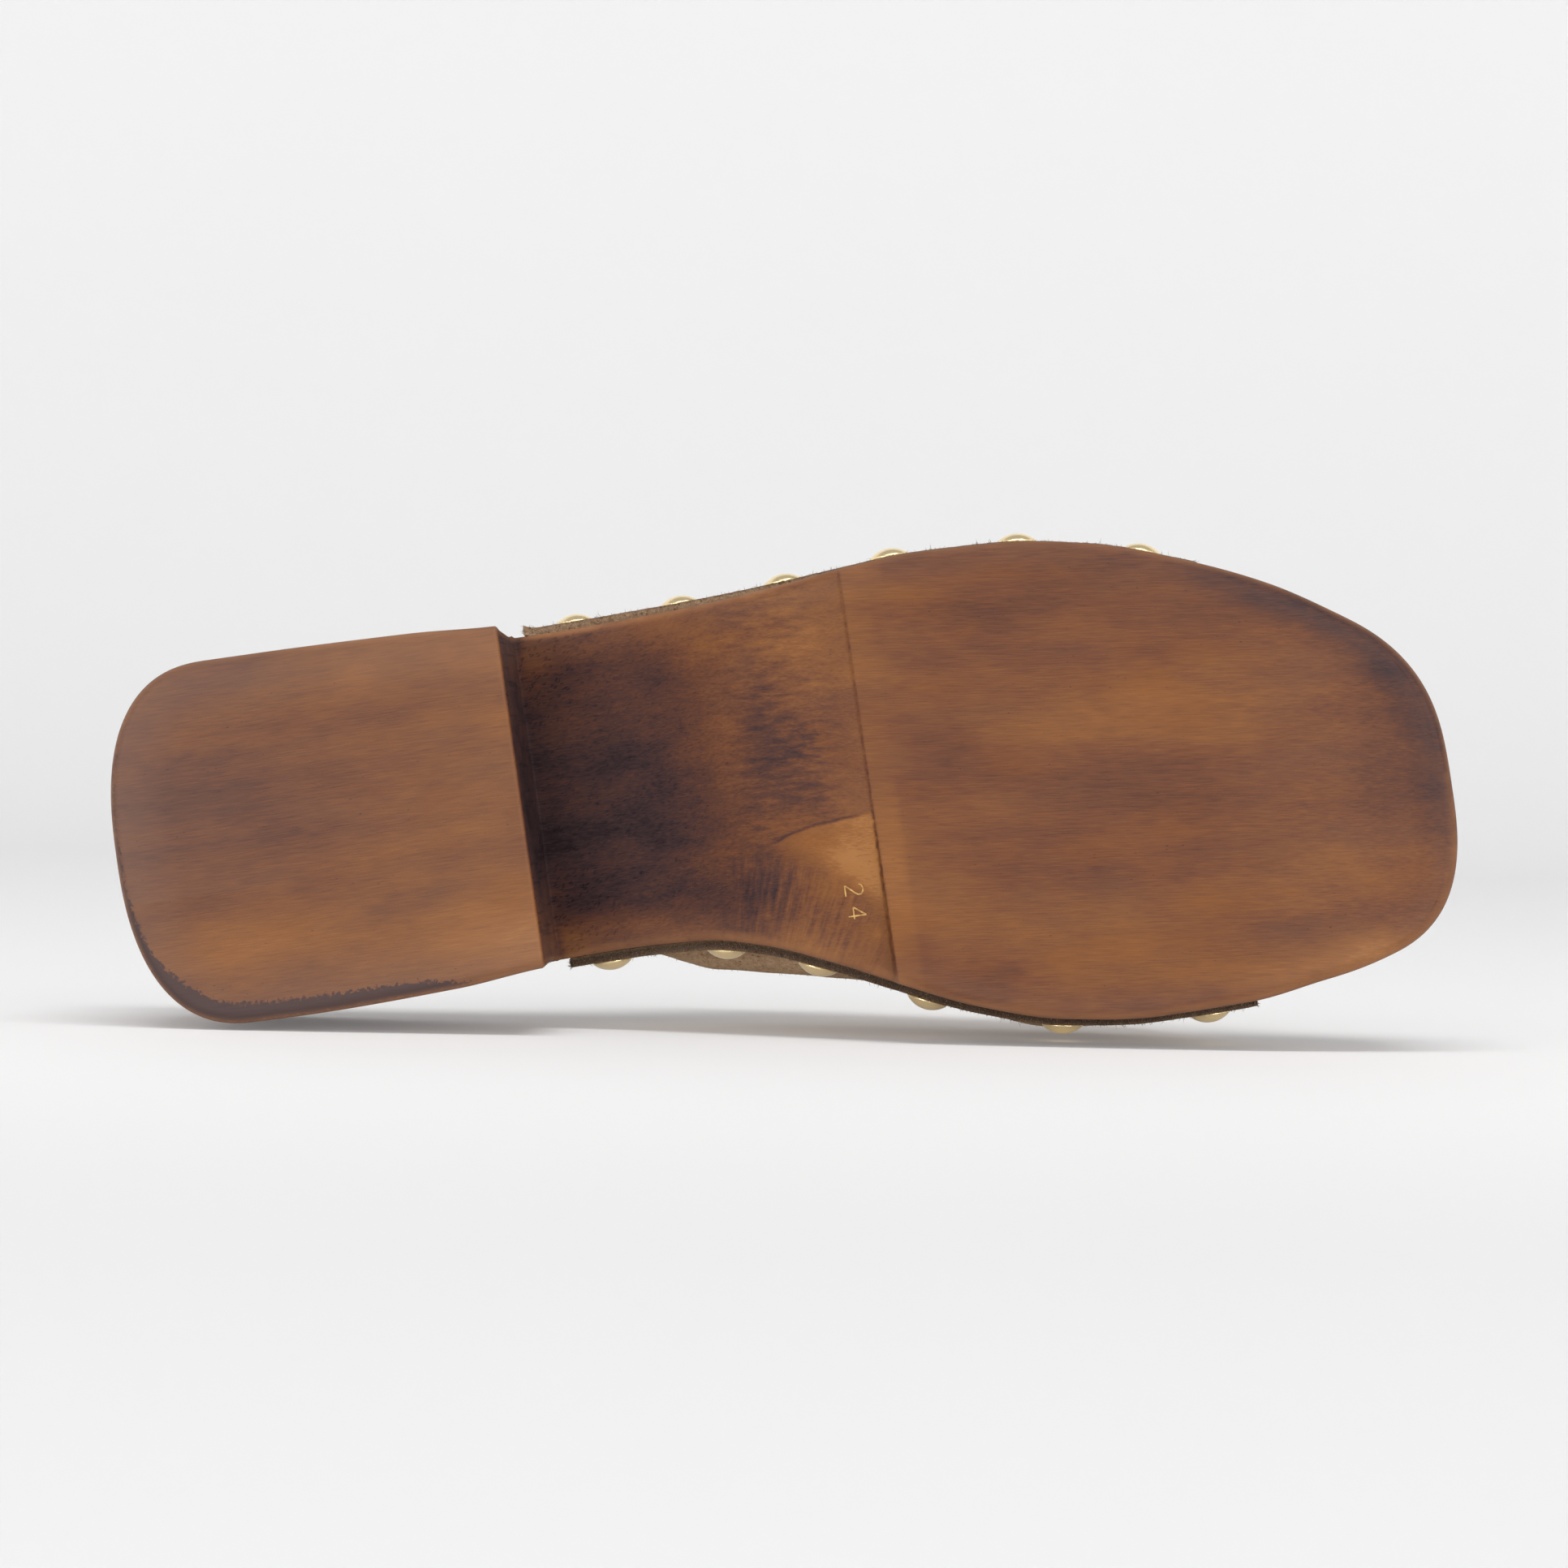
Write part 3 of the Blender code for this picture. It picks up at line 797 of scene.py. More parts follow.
def take(piece: Piece, slot: Slot, *nodes: str) -> Piece:
    """Lets a piece ride on the shoe and stand for its solids.

    Args:
        piece: The piece.
        slot: Not used.
        *nodes: Solids that it stands for.

    Returns:
        The piece.
    """
    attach(piece, BODY)
    if nodes:
        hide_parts(*nodes)
    log.info("%s: %d faces", piece.name, len(piece.data.polygons))
    return piece


@dataclass
class WoodenSole:
    """One block of wood: heel, arch with its inner scoop, tread, toe spring and footbed."""

    shoe: ShoeFrame
    length: float = 251.5
    heel_length: float = 77.0
    ball_line: float = 142.0
    ball_run: tuple[float, float] = (0.8, 0.1)
    ball_groove: float = 0.05
    groove_line: float = 141.7
    groove_half: float = 0.3
    toe_spring_start: float = 205.0
    toe_spring: float = 7.0
    side_draft: float = math.radians(2)
    ground_edge: float = 2.2
    footbed_edge: float = 3.0
    breast_edge: float = 0.7
    breast_foot: float = 76.9
    breast_top: float = 78.3
    breast_fillet: float = 0.3
    fillet_run: float = 0.2
    fillet_end: float = 82.3
    corner_fade: tuple[float, float] = (17.0, 24.0)
    grain_turn: tuple[float, float] = (95.0, 150.0)
    grain_slope: float = 0.115
    heel_round: float = 22.0
    toe_round_outer: float = 19.4
    toe_round_inner: float = 26.6
    toe_middle: float = 24.0
    round_power: float = 2.5
    toe_power_outer: float = 3.5
    end_station: float = 5.0
    bow_reach: float = 22.0
    columns: int = 100
    crowding: float = 0.6
    edge_steps: int = 7
    side_levels: int = 11
    scoop_slope: float = 0.1
    scoop_start: float = 105.0
    # Station, outer side, inner side
    sides: Rows = (
        (0, -33.9, 34.4), (32, -33.9, 34.9), (60, -33.5, 34.0), (77, -32.6, 32.4),
        (95, -32.4, 31.9), (107, -32.4, 32.3), (118, -32.6, 34.6), (130, -33.2, 39.2),
        (142, -34.2, 44.8), (156, -35.2, 51.0), (172, -34.8, 55.7), (190, -32.1, 57.7),
        (207, -26.5, 57.4), (222, -20.0, 55.3), (236, -11.6, 53.6), (251.5, -1.5, 54.2),
    )
    # Station, height of the footbed's edge, depth of its dish
    bed: Rows = (
        (0, 51.0, 0.3), (12, 51.0, 2.2), (40, 50.0, 3.8), (77, 45.5, 2.2), (100, 39.0, 1.0),
        (120, 33.4, 0.8), (142, 29.2, 1.2), (172, 27.5, 1.8), (207, 28.0, 1.8), (238, 31.0, 0.8),
        (251.5, 32.6, 0.3),
    )
    # Station, height of the arch
    arch: Rows = (
        (78.5, 24.5), (90, 21.8), (100, 18.4), (110, 14.3), (121, 9.4), (131, 4.9), (141.4, 0.6),
    )
    # Station, side place of the crease
    crease: Rows = ((105, 22.0), (122, 15.3), (130, 13.1), (142, 12.0))
    # Cross rows: first station, last station, steps, power that crowds them to the first
    runs: Rows = (
        (5.0, 74.6, 76, 1.12), (74.6, 79.6, 26, 1.0), (79.6, 139.6, 62, 1.0),
        (139.6, 144.0, 24, 1.0), (246.5, 144.0, 112, 1.12),
    )

    def __post_init__(self) -> None:
        """Draws the curves."""
        self.side_rails = {side: Rail.through(self.sides, k) for k, side in enumerate(Side, 1)}
        self.bed_edge, self.bed_dish = Rail.through(self.bed, 1), Rail.through(self.bed, 2)
        self.arch_rail, self.crease_rail = Rail.through(self.arch, 1), Rail.through(self.crease, 1)

    @staticmethod
    def _round(distance: Array, reach: float, power: float) -> Array:
        """Share of the half width at a distance from a rounded end, an ellipse at power 2."""
        left = np.clip(1 - np.asarray(distance, float) / reach, 0, 1)
        return (1 - left**power) ** (1 / power)

    def side_line(self, x: Array | float, side: Side) -> Array:
        """Side place of the ground outline.

        Args:
            x: Stations.
            side: Side of the foot.

        Returns:
            Places along y.
        """
        reach, power = self.toe_round_inner, self.round_power
        if side is Side.OUTER:
            reach, power = self.toe_round_outer, self.toe_power_outer
        heel = self._round(x, self.heel_round, self.round_power)
        toe = self._round(self.length - np.asarray(x, float), reach, power)
        return self.toe_middle + (self.side_rails[side].at(x) * heel - self.toe_middle) * toe

    def wall(self, x: Array | float, z: Array | float, side: Side) -> Array:
        """Side place of the sole's wall.

        Args:
            x: Stations.
            z: Heights.
            side: Side of the foot.

        Returns:
            Places along y.
        """
        x = np.asarray(x, float)
        slope = (self.side_line(x + 1, side) - self.side_line(x - 1, side)) / 2
        draft = math.tan(self.side_draft) * np.asarray(z) * np.sqrt(1 + slope**2)
        return self.side_line(x, side) - side.sign * draft

    def end_line(self, y: Array, at_toe: bool) -> Array:
        """Station of the rounded heel or toe end.

        Args:
            y: Side places.
            at_toe: Whether it is the toe's end.

        Returns:
            Stations.
        """
        depth = self.end_station * np.linspace(0, 1, 400) ** 2
        x = self.length - depth if at_toe else depth
        outer, inner = self.side_line(x[::-1], Side.OUTER), self.side_line(x, Side.INNER)
        return np.interp(y, np.concatenate([outer, inner]), np.concatenate([x[::-1], x]))

    def stations(self) -> Array:
        """Stations of the cross rows, dense at the breast and at the ball line."""
        runs = [first + (last - first) * np.linspace(0, 1, int(steps) + 1) ** crowd
                for first, last, steps, crowd in self.runs]
        return np.unique(np.round(np.concatenate(runs), 4))

    def shares(self) -> Array:
        """Shares of the way across of the columns, crowded towards both sides."""
        even = np.linspace(0, 1, self.columns + 1)
        return even - self.crowding * np.sin(2 * math.pi * even) / (2 * math.pi)

    def scooped(self, x: Array, y: Array) -> Array:
        """Height of the arch with its inner scoop.

        Args:
            x: Stations.
            y: Side places.

        Returns:
            Heights.
        """
        into = np.clip(y - self.crease_rail.at(x), 0, None)
        fade = np.clip((x - self.scoop_start) / (self.ball_line - self.scoop_start), 0, 1)
        return self.arch_rail.at(x) + self.scoop_slope * fade * into

    def underside(self, x: Array, y: Array) -> Array:
        """Height of the lower face.

        Args:
            x: Stations.
            y: Side places.

        Returns:
            Heights.
        """
        x, y = np.asarray(x, float), np.asarray(y, float)
        arch = self.scooped(x, y)
        spring = (x - self.toe_spring_start) / (self.length - self.toe_spring_start)
        tread = self.toe_spring * np.clip(spring, 0, 1) ** 2
        before, beyond = self.ball_run
        step = smooth(self.ball_line - before, self.ball_line + beyond, x)
        groove = self.ball_groove * np.exp(-(((x - self.groove_line) / self.groove_half) ** 2))
        low = arch * (1 - step) + tread * step + groove
        top = self.arch_rail.values[0] - self.breast_fillet
        climb = (x - self.breast_foot) / (self.breast_top - self.breast_foot)
        flat = self.breast_edge + (top - self.breast_edge) * np.clip(climb, 0, 1)
        face = np.where(climb < 0, self._breast_round(x), flat)
        fade = np.exp(-np.clip(x - self.breast_top, 0, None) / self.fillet_run)
        breast = np.where(x < self.breast_top, face, arch - self.breast_fillet * fade)
        return np.where(x < self.fillet_end, breast, low)

    def _breast_round(self, x: Array) -> Array:
        """How far the rounded edge of the breast has turned in at stations."""
        into = np.clip(x - self.breast_foot + self.breast_edge, 0, self.breast_edge)
        return self.breast_edge - np.sqrt(np.clip(self.breast_edge**2 - into**2, 0, None))

    def footbed(self, x: Array, share: Array) -> Array:
        """Height of the upper face at stations and shares of the way across."""
        return self.bed_edge.at(x) - self.bed_dish.at(x) * (1 - (2 * share - 1) ** 2)

    def outline(self) -> Array:
        """Ground outline, once round: outer side, toe, inner side, back of the heel."""
        x, share = self.stations(), self.shares()[1:-1]
        outer, inner = self.side_line(x, Side.OUTER), self.side_line(x, Side.INNER)
        toe = outer[-1] + (inner[-1] - outer[-1]) * share
        heel = inner[0] + (outer[0] - inner[0]) * share
        xs = np.concatenate([x, self.end_line(toe, True), x[::-1], self.end_line(heel, False)])
        return np.stack([xs, np.concatenate([outer, toe, inner[::-1], heel])], axis=1)

    @staticmethod
    def moved_in(ring: Array, distance: Array) -> Array:
        """The ring moved inwards, keeping its stations along the sides.

        Args:
            ring: Closed ring that runs from the outer side to the toe.
            distance: How far each point moves.

        Returns:
            The new ring.
        """
        run = np.roll(ring, -1, axis=0) - np.roll(ring, 1, axis=0)
        normal = np.stack([run[:, 1], -run[:, 0]], axis=1)
        normal /= np.linalg.norm(normal, axis=1)[:, None]
        on_side = smooth(0.6, 0.95, np.abs(normal[:, 1]))[:, None]
        across = np.zeros_like(ring)
        across[:, 1] = 1 / np.where(np.abs(normal[:, 1]) > 0.5, normal[:, 1], 1)
        return ring - ((1 - on_side) * normal + on_side * across) * np.asarray(distance)[:, None]

    def corner_inset(self, x: Array, z: Array) -> Array:
        """How far the upright corners of the heel breast are rounded in."""
        rounded = np.where(x > self.breast_top - self.breast_fillet, 0, self._breast_round(x))
        return rounded * fall(*self.corner_fade, z)

    def rings(self) -> list[Array]:
        """Rings of the side, from the edge of the ground face up to that of the footbed."""
        ring = self.outline()
        low = self.moved_in(ring, np.full(len(ring), self.ground_edge))
        foot = self.underside(low[:, 0], low[:, 1])
        top = self.bed_edge.at(ring[:, 0])
        angles = np.linspace(0, math.pi / 2, self.edge_steps + 1)
        low_edge, high_edge = self.ground_edge, self.footbed_edge
        steps = [(low_edge * (1 - math.sin(a)), foot + low_edge * (1 - math.cos(a)))
                 for a in angles]
        side_low, side_high = foot + low_edge, top - high_edge
        levels = np.linspace(0, 1, self.side_levels + 2)[1:-1]
        steps += [(0.0, side_low + (side_high - side_low) * level) for level in levels]
        steps += [(high_edge * (1 - math.sin(a)), top - high_edge * (1 - math.cos(a)))
                  for a in angles[::-1]]
        made = []
        for inset, z in steps:
            inward = inset + math.tan(self.side_draft) * z + self.corner_inset(ring[:, 0], z)
            made.append(np.column_stack([self.moved_in(ring, inward), z]))
        return made

    def _grid(self, ring: Array) -> tuple[Array, Array, Array]:
        """Fills a ring with cross rows that bow towards the rounded ends.

        Args:
            ring: The closed ring.

        Returns:
            Points by row and column, their shares across, and which of them are the ring's own.
        """
        x, share = self.stations(), self.shares()
        rows = len(x) - 1
        outer = ring[: rows + 1]
        inner = ring[rows + self.columns: 2 * rows + self.columns + 1][::-1]
        grid = outer[:, None] + (inner - outer)[:, None] * share[None, :, None]
        toe = np.concatenate([outer[-1:], ring[rows + 1: rows + self.columns], inner[-1:]])
        heel = np.concatenate([outer[:1], ring[2 * rows + self.columns + 1:][::-1], inner[:1]])
        for end, straight, near in ((heel, grid[0], x - x[0]), (toe, grid[-1], x[-1] - x)):
            bow = fall(0, self.bow_reach, near)
            grid = grid + bow[:, None, None] * (end - straight)[None]
        on_ring = np.zeros(grid.shape[:2], bool)
        on_ring[0], on_ring[-1], on_ring[:, 0], on_ring[:, -1] = True, True, True, True
        return grid, np.broadcast_to(share, grid.shape[:2]), on_ring

    def _numbers(self, ring_start: int, inner_start: int) -> Array:
        """Vertex numbers of a face's grid.

        Args:
            ring_start: Number of the ring's first vertex.
            inner_start: Number of the first vertex inside the ring.

        Returns:
            Numbers by row and column.
        """
        rows, columns = len(self.stations()) - 1, self.columns
        count = 2 * rows + 2 * columns
        numbers = np.empty((rows + 1, columns + 1), int)
        inside = np.arange((rows - 1) * (columns - 1)).reshape(rows - 1, -1)
        numbers[1:-1, 1:-1] = inner_start + inside
        numbers[:, 0] = ring_start + np.arange(rows + 1)
        numbers[-1, 1:-1] = ring_start + rows + np.arange(1, columns)
        numbers[:, -1] = ring_start + 2 * rows + columns - np.arange(rows + 1)
        numbers[0, 1:-1] = ring_start + count - np.arange(1, columns)
        return numbers

    def grain(self, own: Array) -> Array:
        """Places measured along the grain, which turns towards the big toe ahead of the waist.

        Args:
            own: Rows of x, y, z.

        Returns:
            Rows of place along the grain, across it, and z.
        """
        first, last = self.grain_turn
        part = np.clip((own[:, 0] - first) / (last - first), 0, 1)
        run = (last - first) * (part**3 - part**4 / 2) + np.clip(own[:, 0] - last, 0, None)
        return np.column_stack([own[:, 0], own[:, 1] - self.grain_slope * run, own[:, 2]])

    def build(self, finish: Material) -> Piece:
        """Makes the sole.

        Args:
            finish: Its material.

        Returns:
            The piece.
        """
        rings = self.rings()
        count = len(rings[0])
        points, faces = [np.concatenate(rings)], []
        here, after = np.arange(count), np.roll(np.arange(count), -1)
        for low in range(0, (len(rings) - 1) * count, count):
            high = low + count
            faces.append(np.stack([low + here, low + after, high + after, high + here], axis=1))
        total = len(rings) * count
        for ring, start, under in ((rings[0], 0, True), (rings[-1], total - count, False)):
            grid, share, on_ring = self._grid(ring)
            inside = grid[~on_ring]
            x, y = inside[:, 0], inside[:, 1]
            height = self.underside(x, y) if under else self.footbed(x, share[~on_ring])
            points.append(np.column_stack([x, y, height]))
            quads = face_quads(self._numbers(start, total))
            faces.append(quads[:, ::-1] if under else quads)
            total += len(inside)
        own = np.concatenate(points)
        marks = StainMap(self).marks(own, rings, len(points[1]))
        piece = new_piece("sole", self.shoe.place(own), np.concatenate(faces).tolist(), finish,
                          {"own_mm": own, "grain_mm": self.grain(own), **marks})
        return take(piece, Slot.WOOD, "wooden_sole")


@dataclass
class StainMap:
    """Where the stain on the sole's lower face lies dark or thin, is rubbed or shows the tools, and
    where painted shade, highlight and sheen lie over it.
    """

    sole: WoodenSole
    # Tone along the sole, before its patches; its dark dip at the heel breast and the start of the
    # arch is stain and also painted shade under the heel
    lengthwise: Rows = (
        (0, 0.52), (8, 0.53), (30, 0.53), (60, 0.58), (76.6, 0.60), (77.0, 0.15), (78.2, 0.15),
        (78.5, 0.11), (79.2, 0.15), (84, 0.18), (93, 0.20), (102, 0.23), (110, 0.31), (118, 0.40),
        (126, 0.48), (134, 0.55), (141.5, 0.60), (143, 0.58), (155, 0.53), (200, 0.51),
        (251.5, 0.52),
    )
    # Patches: station, side place, half length, half width, change of tone
    patches: Rows = (
        (20, 21, 18, 6, 0.18), (34, 22, 12, 7, 0.12), (62, 24, 14, 7, 0.20), (74, 26, 9, 7, 0.18),
        (52, -30, 20, 4, 0.20), (20, -10, 14, 9, -0.09), (36, -2, 16, 8, -0.07),
        (64, 0, 10, 6, 0.02), (86, 8, 8, 12, -0.05), (84, -18, 9, 9, 0.07),
        (100, 8, 9, 10, -0.03), (94, -18, 9, 7, 0.05), (114, -24, 12, 7, 0.13),
        (116, -16, 5, 6, 0.10), (116, 0, 3.5, 11, 0.10), (126, -2, 5.5, 8, -0.20),
        (123, -9, 3, 5, -0.16), (132, -22, 10, 9, 0.16), (132, 8, 6, 4, -0.03),
        (113, 26, 8, 7, -0.10), (122, 13, 6, 3, 0.08), (181, 1, 16, 4.5, 0.14),
        (200, -2, 14, 6, 0.12), (190, 14, 22, 5, -0.08), (157, 6, 8, 7, -0.09),
        (167, -20, 9, 5, -0.11), (186, -26, 20, 5, -0.05), (180, 42, 20, 8, 0.12),
        (222, 34, 14, 7, 0.12), (222, 52, 18, 4, 0.22), (240, 6, 6, 9, -0.10),
        (214, 4, 12, 8, 0.10), (152, 26, 8, 9, 0.10), (200, 50, 14, 5, 0.08),
        (147, 40, 4, 5, -0.10), (144, 22, 4, 9, 0.14), (124, 36, 8, 5, 0.32),
        (134, 22, 6, 5, 0.18), (52, 8, 10, 5, 0.06), (160, 36, 10, 6, 0.06),
        (13, -4, 13, 11, -0.09), (238, 18, 9, 8, -0.15), (232, 51, 9, 4, 0.24),
        (120, 23, 5, 6, -0.15), (136, -6, 5, 7, -0.13), (131, 4, 3, 10, -0.10),
        (158, 47, 9, 4, -0.13), (80, -26, 4, 4, 0.18), (81, 29, 5, 3, 0.16),
    )
    # Pooled stain round the heel: share of the way round from the outer breast, and its width
    heel_band: Rows = (
        (0.0, -2.0), (0.30, -1.2), (0.42, 0.5), (0.52, 1.1), (0.58, 2.2), (0.64, 4.2),
        (0.70, 3.4), (0.78, 3.0), (0.84, 1.8), (0.90, -0.4), (1.0, -2.0),
    )
    # Inner end of the cutter's strokes beside the planed triangle: station and side place
    stroke_end: Rows = ((112, 15.0), (122, 17.4), (132.3, 22.4), (141, 31.7))
    plain_tone: float = 0.5
    # Stands for a distance where nothing is near, in mm
    none_near: float = -9.0

    def tone(self, x: Array, y: Array, rim: Array) -> Array:
        """Tone of the stain on the lower face, with painted shade under the heel breast.

        Args:
            x: Stations.
            y: Side places.
            rim: Distances in from the outline.

        Returns:
            Tones, dark at 0 and pale at 1.
        """
        tone = Rail.through(self.lengthwise, 1).at(x)
        for station, across, half_long, half_wide, change in self.patches:
            far = ((x - station) / half_long) ** 2 + ((y - across) / half_wide) ** 2
            tone = tone + change * np.exp(-far) * (np.abs(x - station) < 3 * half_long)
        tone = tone + 0.22 * band((78.6, 80.5), (104, 122), x) * fall(2.5, 9.5, rim)
        tone = tone - 0.20 * smooth(200, 220, x) * fall(24, 40, y) * fall(3, 11, rim)
        tone = tone - 0.05 * (x > 150) * (y < 0) * fall(2, 7, rim)
        strip = band((0, 0.6), (3.8, 5.4), x - self.sole.ball_line)
        return tone + strip * (0.03 + 0.05 * smooth(5, 20, y))

    def marks(self, own: Array, rings: list[Array], under_count: int) -> dict[str, Array]:
        """Marks at the sole's vertices.

        Args:
            own: All vertices, rings first.
            rings: The rings of the side.
            under_count: How many vertices fill the lower face.

        Returns:
            Values by mark.
        """
        sole, count = self.sole, len(rings[0])
        x, y = own[:, 0], own[:, 1]
        ring_total = len(rings) * count
        below = np.zeros(len(own), bool)
        below[: (sole.edge_steps + 1) * count] = True
        below[ring_total: ring_total + under_count] = True
        rim, share = self._rim(own, below, rings[sole.edge_steps])
        width = Rail.through(self.heel_band, 1).at(share)
        on_heel = below & (x < sole.heel_length - 0.5)
        arch = below & (x > sole.heel_length - 0.2) & (x < sole.groove_line)
        crease = y - sole.crease_rail.at(x)
        past_end = y - Rail.through(self.stroke_end, 1).at(x)
        feather = 0.14 + 0.5 * band((112, 124), (133, 139), x) * fall(-1, 2, crease)
        torn = fall(112, 126, x) * (0.8 + 0.8 * fall(84, 96, x) * smooth(8, 22, np.abs(y)))
        # Painted sheen: a grey veil, strongest near the heel's rim
        heel_painted_sheen = 0.05 + 0.09 * fall(2, 14, rim) + 0.04 * fall(10, 40, x) * (y < 10)
        return {
            "tone": np.where(below, self.tone(x, y, rim), self.plain_tone),
            "stain_mm": np.where(on_heel, np.minimum(width - rim, rim * 1.6 - 0.5), self.none_near),
            # Rubbed-off stain along the edges, also a painted highlight on them
            "worn": self._worn_and_highlit(x, y, rim) * below,
            "painted_sheen": below * np.where(on_heel, heel_painted_sheen, 0.05 * fall(1, 8, rim)),
            "crease_mm": np.where(arch, crease, self.none_near),
            "amber": arch * smooth(118, 130, x) * fall(-4.5, 1.0, past_end),
            # Where the painted shade along the crease shows
            "crease_shaded": arch * band((119, 126), (137, 141), x),
            "stroked": arch * band((108, 120), (139, 141.5), x) * smooth(-1.5, 2.5, past_end),
            "feather": arch * feather,
            "torn": arch * torn,
            "score_mm": np.where(below, x - sole.groove_line, -self.none_near),
            # Stronger towards the inner side, where the ledge at the ball line is tallest: painted
            # shade
            "groove_and_shade": 0.06 + 0.56 * smooth(-14, 26, y),
        }

    def _rim(self, own: Array, below: Array, outline: Array) -> tuple[Array, Array]:
        """Distance in from the sole's outline, and the share of the way round the heel.

        Args:
            own: All vertices.
            below: Which of them are on the lower face.
            outline: Outermost ring.

        Returns:
            Distances and shares.
        """
        run = np.roll(outline, -1, axis=0) - outline
        dense = np.concatenate([outline + run * t for t in (0, 0.25, 0.5, 0.75)])
        tree = KDTree(len(dense))
        for k, point in enumerate(dense):
            tree.insert((point[0], point[1], 0), k)
        tree.balance()
        rim, share = np.zeros(len(own)), np.zeros(len(own))
        for k in np.nonzero(below)[0]:
            near, _, rim[k] = tree.find((own[k, 0], own[k, 1], 0))
            behind = min(near.x - self.sole.heel_length, 0)
            share[k] = 1 + math.atan2(behind, near.y) / math.pi
        return rim, share

    @staticmethod
    def _worn_and_highlit(x: Array, y: Array, rim: Array) -> Array:
        """How far the stain is rubbed off along the edges, which also paints a highlight on them.

        Args:
            x: Stations.
            y: Side places.
            rim: Distances in from the outline.

        Returns:
            Shares.
        """
        inner_waist = band((79, 84), (138, 150), x) * (y > 0)
        inner_toe = smooth(150, 165, x) * (y > 20)
        outer_waist = band((79, 84), (120, 140), x) * (y < 0)
        outer_heel = band((30, 44), (64, 72), x) * (y < 0)
        reach = 1.1 + 1.5 * inner_waist + 0.9 * inner_toe + 0.5 * outer_waist
        share = 0.55 + 0.1 * inner_waist + 0.3 * (outer_heel + outer_waist)
        breast = 0.1 * np.exp(-(((x - 76.45) / 0.35) ** 2))
        return np.maximum(fall(0.2, 1.0, rim / reach) * share, breast)


